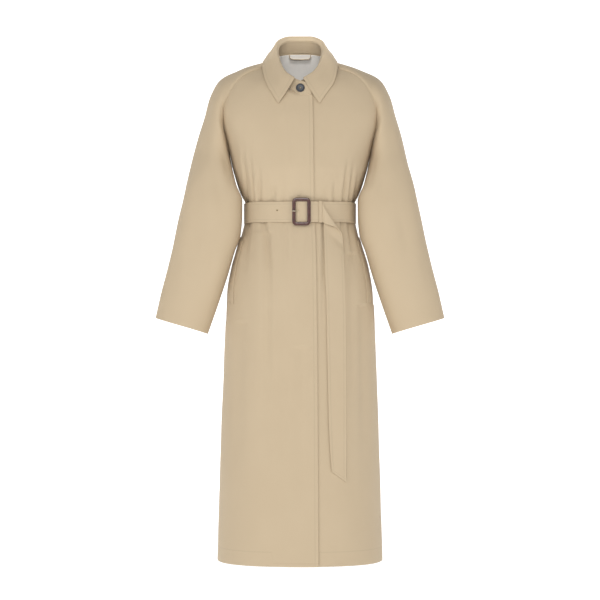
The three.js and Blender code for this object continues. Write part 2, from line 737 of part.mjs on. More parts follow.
// The free end where it hangs down the skirt
const HANGING_END = table(
  ["leftX", "leftZ", "rightX", "rightZ", "standOff"],
  [
    [57.6, -437, 103.6, -470, 3.4],
    [58.4, -470, 104.5, -492, 3.2],
    [60, -525, 106, -534, 3],
    [62.5, -585, 107.5, -588, 2.8],
    [63.5, -640, 108.4, -641, 2.8],
    [64.5, -700, 109, -702, 2.8],
    [66, -775, 109.4, -777, 2.8],
    [67.8, -850, 109.6, -853, 2.8],
    [70.5, -925, 109.4, -932, 3],
    [73, -960, 109.1, -975, 3.2],
    [75.1, -985.6, 108.6, -1009.5, 3.2],
  ],
);

// The strap's stations in order, each its top and bottom edge
function strapStations() {
  const stations = [];
  const half = STRAP_WIDTH / 2;
  const upright = (p) => stations.push([V(p.x, p.y, BELT_Z + half), V(p.x, p.y, BELT_Z - half)]);
  upright(V(BUCKLE_X + 13, BAR_Y - BAR_TURN, 0));
  for (let i = 0; i <= 6; i++) {
    const angle = (i / 6) * Math.PI;
    upright(V(BUCKLE_X - BAR_TURN * Math.sin(angle), BAR_Y - BAR_TURN * Math.cos(angle), 0));
  }
  const standOff = curveThrough([14, 30, 40, 55, 75], [MIDDLE, 1.9, INNER_LAYER_OUT, INNER_LAYER_OUT, MIDDLE]);
  const first = Math.asin(12 / BELT_HALF);
  const last = 2 * Math.PI - Math.asin(44 / BELT_HALF);
  const steps = 44;
  for (let i = 0; i <= steps; i++) {
    const angle = mix(first, last, i / steps);
    const x = BELT_HALF * Math.sin(angle);
    const out = Math.cos(angle) > 0 && x > 0 ? standOff(x) : MIDDLE;
    const wrapped = angle > Math.PI ? angle - 2 * Math.PI : angle;
    upright(waist(wrapped, out, 0));
  }
  const overBar = BAR_Y - BAR_TURN - STRAP_WALL - SEAM_GAP;
  upright(V(-34, -107, 0));
  upright(V(-25, -108.8, 0));
  upright(V(-16, -111.2, 0));
  upright(V(-8, -113, 0));
  upright(V(0, overBar, 0));
  upright(V(8, overBar, 0));
  upright(V(16, -113.4, 0));
  upright(V(24, -112.6, 0));
  upright(V(33, -110.9, 0));
  upright(waist(Math.asin(40 / BELT_HALF), OUTER_LAYER_OUT, 0));
  upright(waist(Math.asin(51 / BELT_HALF), OUTER_LAYER_OUT, 0));
  // The free end turns down, folds back along a slanting line and hangs
  TURNED_END.forEach((e) => stations.push([V(e.topX, e.topY, e.topZ), V(e.lowX, e.lowY, e.lowZ)]));
  return stations;
}

// The skirt's own depth at a place in the front view, on the wearer's left
function skirtY(x, z) {
  const up = upAt(frontHalf, z, 0.5);
  return frontHalf.at(turnAt(frontHalf, x, up), up).y;
}

function strapSolid() {
  const across = [0, 1 / 3, 2 / 3, 1];
  const rows = strapStations().map(([top, bottom]) => across.map((t) => top.clone().lerp(bottom, t)));
  HANGING_END.forEach((e) => {
    rows.push(
      across.map((t) => {
        const x = mix(e.leftX, e.rightX, t);
        const z = mix(e.leftZ, e.rightZ, t);
        return V(x, skirtY(x, z) - e.standOff, z);
      }),
    );
  });
  return solidOf(middleWall(rows, STRAP_WALL));
}

// A wall with the grid as its middle, for a strap that shows both faces
function middleWall(grid, wall) {
  const rows = grid.length;
  const columns = grid[0].length;
  const outer = grid.map((row, i) =>
    row.map((p, j) => {
      const along = grid[Math.min(i + 1, rows - 1)][j].clone().sub(grid[Math.max(i - 1, 0)][j]);
      const across = row[Math.min(j + 1, columns - 1)].clone().sub(row[Math.max(j - 1, 0)]);
      return p.clone().addScaledVector(along.cross(across).normalize(), wall / 2);
    }),
  );
  const i = Math.floor(rows / 2);
  const j = Math.floor(columns / 2);
  return wallOf(outer, wall, outer[i][j].clone().sub(grid[i][j]));
}

// A round bar between two points
function bar(radius, from, to, sides = 8) {
  const length = from.distanceTo(to);
  const geometry = new THREE.CylinderGeometry(radius, radius, length, sides);
  const turn = new THREE.Quaternion().setFromUnitVectors(V(0, 1, 0), to.clone().sub(from).normalize());
  geometry.applyQuaternion(turn);
  const centre = from.clone().lerp(to, 0.5);
  return geometry.translate(centre.x, centre.y, centre.z);
}

function roundedRectangle(path, width, height, radius) {
  const x = width / 2;
  const z = height / 2;
  path.moveTo(-x + radius, -z);
  path.lineTo(x - radius, -z);
  path.absarc(x - radius, -z + radius, radius, -Math.PI / 2, 0);
  path.lineTo(x, z - radius);
  path.absarc(x - radius, z - radius, radius, 0, Math.PI / 2);
  path.lineTo(-x + radius, z);
  path.absarc(-x + radius, z - radius, radius, Math.PI / 2, Math.PI);
  path.lineTo(-x, -z + radius);
  path.absarc(-x + radius, -z + radius, radius, Math.PI, Math.PI * 1.5);
  return path;
}

// The buckle: a rounded frame in front of the strap, and a centre bar behind it
const FRAME_BACK_Y = -114.9;
const FRAME_DEPTH = 4.2;
function buckle() {
  const bevel = 1.1;
  const outline = roundedRectangle(new THREE.Shape(), BUCKLE_WIDTH - 2 * bevel, BUCKLE_HEIGHT - 2 * bevel, 8);
  const holeWidth = BUCKLE_WIDTH - 2 * BUCKLE_BAR + 2 * bevel;
  const holeHeight = BUCKLE_HEIGHT - 2 * BUCKLE_BAR + 2 * bevel;
  outline.holes.push(roundedRectangle(new THREE.Path(), holeWidth, holeHeight, 4));
  const frame = new THREE.ExtrudeGeometry(outline, {
    depth: FRAME_DEPTH - 2 * bevel,
    bevelThickness: bevel,
    bevelSize: bevel,
    bevelSegments: 1,
    curveSegments: 5,
  });
  frame.rotateX(Math.PI / 2);
  frame.translate(BUCKLE_X, FRAME_BACK_Y - bevel, BELT_Z);
  let solid = solidOf(frame);
  const reach = BUCKLE_HEIGHT / 2 - BUCKLE_BAR / 2;
  solid = solid.add(solidOf(bar(BAR_RADIUS, V(BUCKLE_X, BAR_Y, BELT_Z - reach), V(BUCKLE_X, BAR_Y, BELT_Z + reach))));
  [-1, 1].forEach((end) => {
    const z = BELT_Z + end * (reach - BAR_RADIUS);
    solid = solid.add(solidOf(bar(BAR_RADIUS * 1.2, V(BUCKLE_X, BAR_Y + 1, z), V(BUCKLE_X, FRAME_BACK_Y - 2, z))));
  });
  return solid;
}

// The pin: round the centre bar, through the strap and over the frame's left bar
function pinSolid(radius) {
  const ring = BAR_RADIUS + SEAM_GAP + 1.0;
  const z = BELT_Z + 1.2;
  const path = new THREE.CatmullRomCurve3([
    V(BUCKLE_X - ring * 0.9, BAR_Y + ring * 0.5, z),
    V(BUCKLE_X, BAR_Y + ring, z),
    V(BUCKLE_X + ring, BAR_Y, z),
    V(BUCKLE_X, BAR_Y - ring, z),
    V(BUCKLE_X - 5, BAR_Y - ring - 1.8, z),
    V(BUCKLE_X - 10, -117.6, z),
    V(BUCKLE_X - 14, -120.5, z),
    V(BUCKLE_X - 19, -120.6, z),
    V(BUCKLE_X - 21.5, -120.4, z),
  ]);
  const section = new THREE.Shape().absarc(0, 0, radius, 0, 2 * Math.PI);
  const pin = new THREE.ExtrudeGeometry(section, { extrudePath: path, steps: 24, curveSegments: 4 });
  return solidOf(pin);
}

// The loop that keeps the free end down, round both layers of strap
function keeper() {
  const halfAngle = KEEPER_WIDTH / 2 / BELT_HALF;
  const inside = INNER_LAYER_OUT - MIDDLE - 2 * SEAM_GAP - KEEPER_WALL;
  const outside = OUTER_LAYER_OUT + MIDDLE + SEAM_GAP + KEEPER_WALL;
  const tall = STRAP_WIDTH / 2 + 2 * SEAM_GAP + KEEPER_WALL;
  const corners = [];
  const corner = 1.3;
  const turns = [
    [inside + corner, -tall + corner, Math.PI, 1.5 * Math.PI],
    [outside - corner, -tall + corner, 1.5 * Math.PI, 2 * Math.PI],
    [outside - corner, tall - corner, 0, 0.5 * Math.PI],
    [inside + corner, tall - corner, 0.5 * Math.PI, Math.PI],
  ];
  turns.forEach(([out, z, from, to]) => {
    for (let i = 0; i <= 3; i++) {
      const angle = mix(from, to, i / 3);
      corners.push([out + corner * Math.cos(angle), z + corner * Math.sin(angle)]);
    }
  });
  corners.push(corners[0]);
  const rows = corners.map(([out, z]) =>
    [-1, 0, 1].map((t) => waist(KEEPER_ANGLE + t * halfAngle, out, BELT_Z + z)),
  );
  const middle = rows[Math.floor(rows.length / 2)][1];
  const centre = waist(KEEPER_ANGLE, (inside + outside) / 2, BELT_Z);
  return wallOf(rows, KEEPER_WALL, middle.clone().sub(centre), { closedRows: true });
}

// How far the stand leans back at the front
const STAND_LEAN = 0.148;

// A turned button with a raised rim and a dished middle
function button() {
  const r = BUTTON_DIAMETER / 2;
  const profile = [
    [0, 0], [r * 0.8, 0], [r, 1.0], [r, 2.2], [r * 0.88, 3.0], [r * 0.74, 2.9], [r * 0.62, 2.1], [0, 1.8],
  ].map(([x, y]) => new THREE.Vector2(x, y));
  const geometry = new THREE.LatheGeometry(profile, 26);
  geometry.rotateX(Math.PI - STAND_LEAN);
  geometry.translate(0.7, -94.6, -77.2);
  return geometryOf(solidOf(geometry));
}

// A pocket's welt, near the side seam, made from the front's own points, moved out
function welt(side) {
  const topZ = -440;
  const bottomZ = -590;
  const rows = Array.from({ length: 10 }, (_, i) => i / 9);
  const across = Array.from({ length: 5 }, (_, j) => j / 4);
  const slant = 13;
  const grid = rows.map((down) =>
    across.map((t) => {
      const z = mix(topZ, bottomZ, down) + slant * t * mix(0.8, 1, down);
      const turn = mix(0.77, 0.705, down) + 0.175 * t;
      const up = upAt(frontHalf, z, turn);
      return frontPoint(side, turn, up);
    }),
  );
  const facing = V(side, -0.5, 0);
  return wallOf(movedOut(grid, 3 * SEAM_GAP + WELT_WALL, facing), WELT_WALL, facing);
}

add("front_right", front(-1), cloth("front_right"));
add("front_left", front(1), cloth("front_left"));
add("back", back(), cloth("back"));
add("sleeve_right", sleeve(-1), cloth("sleeve_right"));
add("sleeve_left", sleeve(1), cloth("sleeve_left"));
add("collar", collarFall(), cloth("collar"));
add("collar_stand", collarStand(), cloth("collar_stand"));
add("back_lining", backLining(), liningCloth());
add("hanger_loop", hangerLoop(), cloth("hanger_loop"));
add("collar_button", button(), darkHorn());
add("pocket_welt_right", welt(-1), cloth("pocket_welt_right"));
add("pocket_welt_left", welt(1), cloth("pocket_welt_left"));

const eyeletXs = [-53.8, -30];
let strap = strapSolid();
eyeletXs.forEach((x) => {
  const z = BELT_Z + 3.5;
  const angle = Math.asin(x / BELT_HALF);
  strap = strap.subtract(solidOf(bar(EYELET_RADIUS, waist(angle, -3, z), waist(angle, 8, z), 10)));
});
const PIN_RADIUS = 0.85;
strap = strap.subtract(pinSolid(PIN_RADIUS + SEAM_GAP + 0.1));
add("belt", geometryOf(strap), cloth("belt"));
add("belt_keeper", keeper(), cloth("belt_keeper"));
add("buckle", geometryOf(buckle()), brownLacquer());
add("buckle_pin", geometryOf(pinSolid(PIN_RADIUS)), pinMetal());

export default coat;
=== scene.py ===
# %% [markdown]
# # A belted raglan coat, filled out as worn
#
# The coat is a lightweight twill coat with raglan sleeves, a shirt collar, a covered closing and its own
# belt. Its measured frame comes first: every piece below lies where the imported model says. The visible
# cloth is then made as thin shells on the same sections, so the folds, seams and stitches can be finer
# than the solids show.

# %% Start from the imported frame
import math

import bpy
import numpy as np
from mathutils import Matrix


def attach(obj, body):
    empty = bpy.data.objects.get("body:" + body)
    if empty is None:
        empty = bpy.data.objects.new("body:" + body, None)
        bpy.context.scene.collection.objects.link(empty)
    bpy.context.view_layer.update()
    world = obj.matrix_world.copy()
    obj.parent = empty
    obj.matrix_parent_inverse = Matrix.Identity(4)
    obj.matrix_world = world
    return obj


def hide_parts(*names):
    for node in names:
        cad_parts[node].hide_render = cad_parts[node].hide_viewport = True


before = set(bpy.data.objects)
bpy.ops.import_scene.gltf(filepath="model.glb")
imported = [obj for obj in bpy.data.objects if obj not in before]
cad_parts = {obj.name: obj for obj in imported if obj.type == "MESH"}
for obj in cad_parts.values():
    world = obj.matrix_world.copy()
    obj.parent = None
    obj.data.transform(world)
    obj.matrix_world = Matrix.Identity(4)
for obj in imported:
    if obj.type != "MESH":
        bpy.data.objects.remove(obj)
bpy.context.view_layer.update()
MM = 0.001

# %% [markdown]
# ## Curves through a few measured places
#
# A pattern cutter draws a coat from a few measures with a curved rule. Here a smooth curve runs through a
# short list of values. The tangent at each value is the harmonic mean of the slopes beside it, and is
# zero where they turn, so the curve never swings past a value. Whole arrays go through it at once.

# %% The curved rule
def mix(a, b, t):
    """A straight blend: a where t is 0, b where t is 1."""
    return a + (b - a) * t


def smoothstep(x, low, high):
    """0 below low, 1 above high, and 3t^2 - 2t^3 between."""
    t = np.clip((np.asarray(x, float) - low) / (high - low), 0, 1)
    return t * t * (3 - 2 * t)


def through(at, values, t):
    """Smooth values at t. values has the shape (knots,) + t's shape + (anything), one curve for each
    place of t."""
    at, t = np.asarray(at, float), np.asarray(t, float)
    gaps = np.diff(at).reshape(-1, *[1] * (values.ndim - 1))
    slope = np.diff(values, axis=0) / gaps
    product, total = slope[:-1] * slope[1:], slope[:-1] + slope[1:]
    middle = np.where(product > 0, 2 * product / np.where(total == 0, 1, total), 0)
    tangent = np.concatenate([slope[:1], middle, slope[-1:]])
    i = np.clip(np.searchsorted(at, t, side="left") - 1, 0, len(at) - 2)
    extra = (1,) * (values.ndim - 1 - t.ndim)
    width = (at[i + 1] - at[i]).reshape(t.shape + extra)
    s = np.clip((t - at[i]).reshape(t.shape + extra) / width, 0, 1)
    index = i.reshape((1,) + t.shape + extra)
    pick = lambda a, step: np.take_along_axis(a, np.broadcast_to(index + step, (1,) + a.shape[1:]), axis=0)[0]
    rise = (2 * s**3 - 3 * s**2 + 1) * pick(values, 0) + (3 * s**2 - 2 * s**3) * pick(values, 1)
    return rise + width * ((s**3 - 2 * s**2 + s) * pick(tangent, 0) + (s**3 - s**2) * pick(tangent, 1))


def curve(at, values):
    """The same as a function of t alone, for one list of numbers or of points."""
    values = np.asarray(values, float)
    tail = values.shape[1:]

    def value(t):
        t = np.asarray(t, float)
        spread = values.reshape((len(values),) + (1,) * t.ndim + tail)
        return through(at, np.broadcast_to(spread, (len(values),) + t.shape + tail), t)

    return value


def lengths(points):
    """Distances along a chain of points, from 0 to the whole length."""
    steps = np.linalg.norm(np.diff(np.asarray(points, float), axis=0), axis=-1)
    return np.concatenate([[0], np.cumsum(steps)])


def samples(count, edge=0.004):
    """count even values from 0 to 1, with one more close to each end, to hold a seam's edge crisp."""
    return np.unique(np.concatenate([[0, edge], np.linspace(0, 1, count), [1 - edge, 1]]))


# %% [markdown]
# ## The coat's measures
#
# Millimetres throughout: +Z is up, the front faces -Y and the wearer's left is +X. The zero level is the
# top of the shoulders. Each row of a table is one section of the coat, so a reader can see where it
# narrows to the belt.

# %% Sections of the body, the neck and the sleeves
HEM_Z, BELT_Z = -1208, -372
SQUARENESS = 0.2
LAP_RAISE = 2.9
BODY_SECTIONS = np.array([  # level, half width, front depth, back depth
    [HEM_Z, 199.5, 149, 150], [-992, 193, 143, 146], [-871, 189, 139, 143], [-702, 181.5, 132, 138],
    [-564, 175.5, 126, 134], [-503, 164.5, 121, 129], [-460, 151, 115, 122], [-414, 137, 107, 111],
    [-394, 132.4, 103.4, 104.4], [-370, 130.6, 102, 102.6], [-348, 132.4, 103.2, 103.4],
    [-332, 140, 108.5, 106],
    [-313, 148, 113, 107.5], [-285, 157, 118, 109], [-262, 163.5, 120, 110],
])
CHEST_ROWS = np.array([  # centre level and depth, raglan seam x y z, turn in degrees, lift
    [-208, -117, 175, -27, -203, 82, 2], [-170, -111.5, 183.5, -44, -158, 75, 2],
    [-146, -107, 183.5, -52, -129, 70, 1.9], [-128, -102.5, 174, -55, -97, 64, 1.8],
    [-116, -99, 158, -54, -67, 58, 1.7], [-107, -96.5, 132, -49, -41, 52, 1.5],
    [-100, -94.8, 98, -38, -26.5, 46, 1.3],
])
YOKE_ROWS = np.array([
    [-205, 112, 173, 27, -205, 82, 2], [-152, 110.5, 175, 43, -152, 75, 2],
    [-104, 106, 169, 51, -110, 70, 1.9],
    [-62, 98, 155, 54, -75, 65, 1.8], [-30, 89, 130, 52, -44, 60, 1.7], [-4, 80.5, 95, 47, -17, 58, 1.5],
])
AROUND = [0, 0.12, 0.24, 0.36, 0.5, 0.64, 0.76, 0.88, 1]
FRONT_SEAM_AT, BACK_SEAM_AT = 0.64, 0.36
NECK_SEAM = curve(AROUND, [
    [0, 70, 24], [26, 68, 23.5], [48, 56, 20], [63.5, 37, 14], [72, 8, -1],
    [69, -23, -18], [57, -52, -44], [34, -78, -72], [0, -93.5, -94],
])
STAND_TOP = curve(AROUND, [
    [0, 59, 52], [24, 57, 51.5], [41, 45, 45.5], [50.5, 28, 36], [53.5, 2, 19],
    [50, -27, -2], [43, -51, -23], [30, -73, -43], [0, -88.5, -60],
])
FALL_SEAM = curve(AROUND, [
    [0, 57.2, 53.6], [23.3, 55.3, 53.1], [39.8, 43.7, 47.1], [49, 27.4, 37.7], [51.8, 2, 20.8],
    [48.4, -26.2, 0.5], [41.6, -49.6, -20.2], [30.4, -69.6, -38.8], [13, -83.4, -50.8],
])
ROLL = curve(AROUND, [
    [0, 64.5, 65.5], [26.5, 62, 65], [46, 49, 58], [56, 30, 48], [59, 2, 30],
    [55, -30, 8], [47, -57, -14], [34, -79, -36], [13, -92, -52],
])
FALL_MIDDLE = curve(AROUND, [
    [0, 77, 35], [33, 74, 34], [57, 60, 30], [69, 37, 26], [74.5, 4, 17],
    [75, -36, -5], [66, -65, -36], [50, -88, -64], [33, -99.5, -86],
])
FALL_EDGE = curve(AROUND, [
    [0, 84.5, -2], [36, 81.5, -2], [66, 71.5, -3], [87, 46, 3.5], [89, 4, -1.5],
    [91, -36, -16], [83, -75, -56], [69, -91, -84], [51.5, -102, -114],
])
SHOULDER_LINE = np.array([
    [72, 8, -1], [88, 8, -6], [109, 7.5, -12], [132, 7, -19], [156, 6, -29], [178, 5, -39],
    [191, 4, -48], [200, 3, -58], [210.5, 2, -77], [219, 1, -97], [230, 0, -136], [245.5, -1, -184],
    [252.5, -2, -214],
])
SLEEVE_SECTIONS = np.array([  # inner line x z, outer line x z, middle y, half depth, reach of the front
    [164.1, -262, 252.5, -214, -2, 62, 12], [153.5, -303, 262, -258, -17, 60, 18],
    [138.5, -343, 273.5, -303, -27, 57, 20], [138.5, -376, 282.5, -345, -33, 54, 20],
    [142.4, -424, 293, -392, -35, 52, 18], [157, -466, 303, -440, -36, 50, 16],
    [172.6, -520, 318, -505, -36, 48, 13], [195.5, -589, 334, -566.5, -36, 45, 9],
    [221, -662, 346.5, -624, -36, 42, 4],
])
SLEEVE_DEPTH_AT = [0, 0.12, 0.24, 0.36, 0.5, 0.65, 0.8, 1]
SLEEVE_FRONT_DEPTH = curve(SLEEVE_DEPTH_AT, [31.5, 46.5, 56, 60.5, 62, 63, 63, 62])
SLEEVE_BACK_DEPTH = curve(SLEEVE_DEPTH_AT, [29, 40, 49, 54, 58, 61, 62, 61])
SLEEVE_REACH = curve(SLEEVE_DEPTH_AT, [0, 0, 0, 0, 1, 4, 8, 12])
REACH_TO_ONE = 0.84
CLOSING_EDGE = curve([HEM_Z, -850, -640, -470, -350, -120, -94], [43, 41, 39.5, 37, 32.5, 29.5, 28.5])
UNDERLAP, LEFT_POINT_IN = 20, 5
print(len(BODY_SECTIONS), "sections in the body and", len(SLEEVE_SECTIONS), "in each sleeve")

# %% [markdown]
# ## Folds
#
# Cloth that a belt draws in falls into narrow valleys with a rounder ridge beside each. Every row names
# one fold in the front or back view: where it starts, where it ends, how deep and wide it is, and the
# side its ridge stands on. A fold above the belt deepens towards the belt, and one below it fades towards
# the hem. A handful of slow waves in the cloth keeps the plain areas from looking moulded.

# %% The fold tables
FRONT_FOLDS = np.array([  # x and z at the top, x and z at the bottom, depth, width, ridge side
    [-137, -205, -127, -348, 6.4, 3.6, 1], [-128, -232, -119, -348, 5.6, 3.2, 1],
    [-121, -222, -109, -348, 6, 3.4, 1], [-97.5, -255, -96, -348, 4.6, 3.6, -1],
    [-62, -300, -64, -348, 2.4, 5, 1], [-36, -310, -40, -348, 2, 5, -1], [6, -318, -2, -348, 1.6, 5, 1],
    [116, -232, 103, -348, 5.6, 3.4, -1], [130, -240, 118, -348, 6, 3.4, -1],
    [143, -262, 129, -348, 5.4, 3.6, -1], [84, -290, 80, -348, 3, 4, -1], [62, -305, 63, -348, 2, 5, 1],
    [-88, -392, -71, -540, 7, 7, 1], [-76, -430, -81, -990, 4.4, 10, -1],
    [-124, -392, -136, -560, 4.6, 7, -1], [-36, -392, -30, -560, 2.4, 7, 1],
    [-10, -400, -14, -640, 1.6, 11, 1], [100, -392, 112, -540, 6.4, 5, -1],
    [118, -392, 134, -520, 5.6, 5, 1],
    [56, -396, 54, -760, 3, 4.6, -1], [122, -480, 128, -980, 4, 12, -1], [150, -600, 154, -1080, 5, 11, 1],
    [-142, -640, -150, -1120, 3.2, 14, -1], [4, -700, 0, -1120, 2.4, 15, 1],
])
BACK_FOLDS = np.array([
    [-134, -215, -122, -348, 4.6, 5, 1], [-114, -240, -106, -348, 4, 4.6, 1],
    [-96, -230, -88, -348, 3.6, 5, -1],
    [-66, -262, -62, -348, 2.8, 6, 1], [-20, -280, -17, -348, 1.8, 7, -1], [38, -270, 34, -348, 2.2, 6, -1],
    [70, -262, 64, -348, 2.6, 6, -1], [92, -236, 84, -348, 4, 4.8, -1], [114, -240, 103, -348, 3.8, 4.8, 1],
    [130, -212, 118, -348, 4.6, 5, -1],
    [-114, -392, -128, -820, 5, 9, -1], [-92, -392, -98, -560, 3, 7, 1], [-62, -392, -74, -980, 4.4, 11, 1],
    [-8, -392, -4, -700, 2.6, 11, -1], [24, -392, 28, -600, 1.8, 10, 1], [48, -392, 58, -940, 4.6, 11, 1],
    [84, -392, 92, -620, 3, 8, -1], [106, -392, 122, -760, 5, 9, -1], [140, -620, 150, -1100, 3, 15, 1],
])
SLEEVE_FRONT_FOLDS = np.array([
    [186, -196, 158, -352, 3.2, 9, 1], [203, -236, 176, -430, 2.4, 12, 1],
    [214, -120, 238, -330, 1.8, 14, -1],
    [238, -330, 268, -600, 2.6, 15, 1], [196, -430, 232, -600, 2.2, 12, -1],
    [290, -420, 318, -610, 1.6, 12, 1],
])
SLEEVE_BACK_FOLDS = np.array([
    [184, -190, 160, -340, 3.4, 10, 1], [206, -240, 172, -380, 3, 11, -1],
    [226, -300, 196, -420, 2.6, 12, 1],
    [236, -320, 262, -590, 2.6, 15, -1], [200, -440, 236, -610, 2.2, 12, 1],
    [276, -380, 306, -600, 2, 14, 1],
])


def fold_out(folds, x, z, fade_in=True):
    """How far the cloth stands out: minus depth * exp(-(d/w)^2) in the valley, plus a wider, lower
    ridge beside it."""
    out = np.zeros_like(x)
    for top_x, top_z, low_x, low_z, depth, width, side in folds:
        along = (top_z - z) / (top_z - low_z)
        away = x - mix(top_x, low_x, np.clip(along, 0, 1))
        opens = smoothstep(along, 0, 0.75) if top_z > BELT_Z and fade_in else 1 - smoothstep(along, 0.2, 1)
        shut = 1 if fade_in else smoothstep(along, 0, 0.35)
        inside = (along > -0.02) & (along < (1.15 if top_z > BELT_Z and fade_in else 1.02))
        valley = np.exp(-((away / width) ** 2))
        ridge = 0.38 * np.exp(-(((away - 2.1 * side * width) / (1.5 * width)) ** 2))
        out += np.where(inside, depth * opens * shut * (ridge - valley), 0)
    return out


def slow_waves(x, z, seed, size):
    """A sum of eight long sine waves in seeded directions, about size high."""
    rng = np.random.default_rng(seed)
    out = np.zeros_like(x)
    for _ in range(8):
        turn, span, start = rng.uniform(-0.9, 0.9), rng.uniform(70, 190), rng.uniform(0, 2 * math.pi)
        out += np.sin(2 * math.pi * (x * math.cos(turn) + z * math.sin(turn)) / span + start)
    return out * size / 4


print(len(FRONT_FOLDS) + len(BACK_FOLDS), "folds in the body")
print(len(SLEEVE_FRONT_FOLDS) + len(SLEEVE_BACK_FOLDS), "folds in each sleeve")

# %% [markdown]
# ## From sections to half panels
#
# A half panel is lofted: each section is a curve from the centre line to the side seam, and a smooth
# curve joins the same turn of every section from the hem to the neck. Below the underarm a section is an
# ellipse made a little squarer. Above it, it's an arc from the centre front to the raglan seam.

# %% The lofted halves
def ring_row(level, half, depth, sign):
    """x = half sin a, y = depth cos a (1 + squareness sin^2 a), with a from 0 at the centre to a right
    angle."""
    def row(turn):
        a = turn * math.pi / 2
        y = sign * depth * np.cos(a) * (1 + SQUARENESS * np.sin(a) ** 2)
        return np.stack([half * np.sin(a), y, np.full_like(a, level)], axis=-1)
    return row


def arc_row(centre_z, centre_y, seam_x, seam_y, seam_z, turn_degrees, lift):
    """The same ellipse cut off where it meets the raglan seam, rising towards it as turn to the power
    lift."""
    end = math.radians(turn_degrees)
    reach = lambda a: np.cos(a) * (1 + SQUARENESS * np.sin(a) ** 2)

    def row(turn):
        a = turn * end
        across = (1 - reach(a)) / (1 - reach(end))
        x = seam_x * np.sin(a) / math.sin(end)
        return np.stack([x, mix(centre_y, seam_y, across), mix(centre_z, seam_z, turn**lift)], axis=-1)
    return row


class HalfPanel:
    """at(turn, up) is the point at a turn from the centre (0) to the side (1), and from the hem (0) to
    the neck (1)."""

    def __init__(self, rows):
        self.rows = rows
        ends = [np.array([row(np.array(float(t))) for row in rows]) for t in (1, 0)]
        knots = (lengths(ends[0]) + lengths(ends[1])) / 2
        self.knots = knots / knots[-1]
        self.underarm = self.knots[len(BODY_SECTIONS) - 1]

    def at(self, turn, up):
        turn, up = np.broadcast_arrays(np.asarray(turn, float), np.asarray(up, float))
        return through(self.knots, np.array([row(turn) for row in self.rows]), up)

    def turn_at(self, x, up):
        """The turn at which the panel is x away from the centre, by halving the range 24 times."""
        x, up = np.broadcast_arrays(np.asarray(x, float), np.asarray(up, float))
        low, high = np.zeros_like(x), np.ones_like(x)
        for _ in range(24):
            middle = (low + high) / 2
            short = self.at(middle, up)[..., 0] < x
            low, high = np.where(short, middle, low), np.where(short, high, middle)
        return (low + high) / 2

    def up_at(self, z, turn=1.0):
        """The height at which the panel reaches a level, found in the same way."""
        z, turn = np.broadcast_arrays(np.asarray(z, float), np.asarray(turn, float))
        low, high = np.zeros_like(z), np.ones_like(z)
        for _ in range(24):
            middle = (low + high) / 2
            short = self.at(turn, middle)[..., 2] < z
            low, high = np.where(short, middle, low), np.where(short, high, middle)
        return (low + high) / 2


front_half = HalfPanel(
    [ring_row(z, half, front, -1) for z, half, front, back in BODY_SECTIONS]
    + [arc_row(*row) for row in CHEST_ROWS]
    + [lambda turn: NECK_SEAM(mix(1, FRONT_SEAM_AT, turn))]
)
back_half = HalfPanel(
    [ring_row(z, half, back, 1) for z, half, front, back in BODY_SECTIONS]
    + [arc_row(*row) for row in YOKE_ROWS]
    + [lambda turn: NECK_SEAM(mix(0, BACK_SEAM_AT, turn))]
)


def pushed(points, out):
    """Points of the body moved out, square to its section."""
    across = np.stack([points[..., 0] / 1.3, points[..., 1], np.zeros_like(out)], axis=-1)
    across /= np.maximum(np.linalg.norm(across, axis=-1, keepdims=True), 1e-9)
    return points + across * out[..., None]


def lap(x):
    """How far the front on top is raised off the one under it."""
    return LAP_RAISE * smoothstep(x, -60, -24)


def on_top(points):
    """The mirror image of points on the wearer's left, raised at the front where the right side lies on
    top."""
    out = points * [-1, 1, 1]
    out[..., 1] -= lap(out[..., 0]) * smoothstep(-out[..., 1], 15, 60)
    return out


def front_points(side, turn, up):
    """A front. side is -1 for the wearer's right. A negative turn is past the centre, where the neck
    runs straight."""
    points = front_half.at(np.abs(turn), up)
    centre = front_half.at(np.zeros_like(turn), up)
    straight = smoothstep(up, front_half.underarm, 1)
    past = turn < 0
    points[..., 2] = np.where(past, mix(points[..., 2], centre[..., 2], straight), points[..., 2])
    if side < 0:
        points[..., 1] = np.where(past, mix(points[..., 1], centre[..., 1], straight), points[..., 1])
    points[..., 0] *= np.where(past, -side, side)
    x, z = points[..., 0], points[..., 2]
    waves = slow_waves(x, z, 3, 0.55) * smoothstep(np.abs(z - BELT_Z), 20, 90)
    out = fold_out(FRONT_FOLDS, x, z) + waves + (lap(x) if side < 0 else 0)
    return pushed(points, out)


def back_points(turn, up):
    points = back_half.at(np.abs(turn), up)
    points[..., 0] *= np.where(turn < 0, -1, 1)
    x, z = points[..., 0], points[..., 2]
    waves = slow_waves(x, z, 8, 0.6) * smoothstep(np.abs(z - BELT_Z), 20, 90)
    return pushed(points, fold_out(BACK_FOLDS, x, z) + waves)


# %% [markdown]
# ## Turning a grid of points into cloth
#
# Cloth has two faces and a rounded edge. The outer face is the grid itself, the inner face is the grid
# moved in along its normals, and a ring of points half way between them, pushed out a little, rounds the
# rim. The mesh is closed, so its signed volume tells whether its faces point outwards. Each piece carries
# a UV map in metres for the weave, and two values that say how far a point is from a row of stitches.

# %% Shells and tubes
def grid_normals(grid, wrap_rows=False, wrap_columns=False):
    """The cross product of the two directions along the grid."""
    def change(values, axis, wrap):
        if wrap:
            return np.roll(values, -1, axis) - np.roll(values, 1, axis)
        return np.gradient(values, axis=axis)
    normals = np.cross(change(grid, 1, wrap_columns), change(grid, 0, wrap_rows))
    return normals / np.maximum(np.linalg.norm(normals, axis=-1, keepdims=True), 1e-9)


def grid_quads(index):
    """Four corners for each cell of a grid of point numbers."""
    return np.stack([index[:-1, :-1], index[:-1, 1:], index[1:, 1:], index[1:, :-1]], axis=-1).reshape(-1, 4)


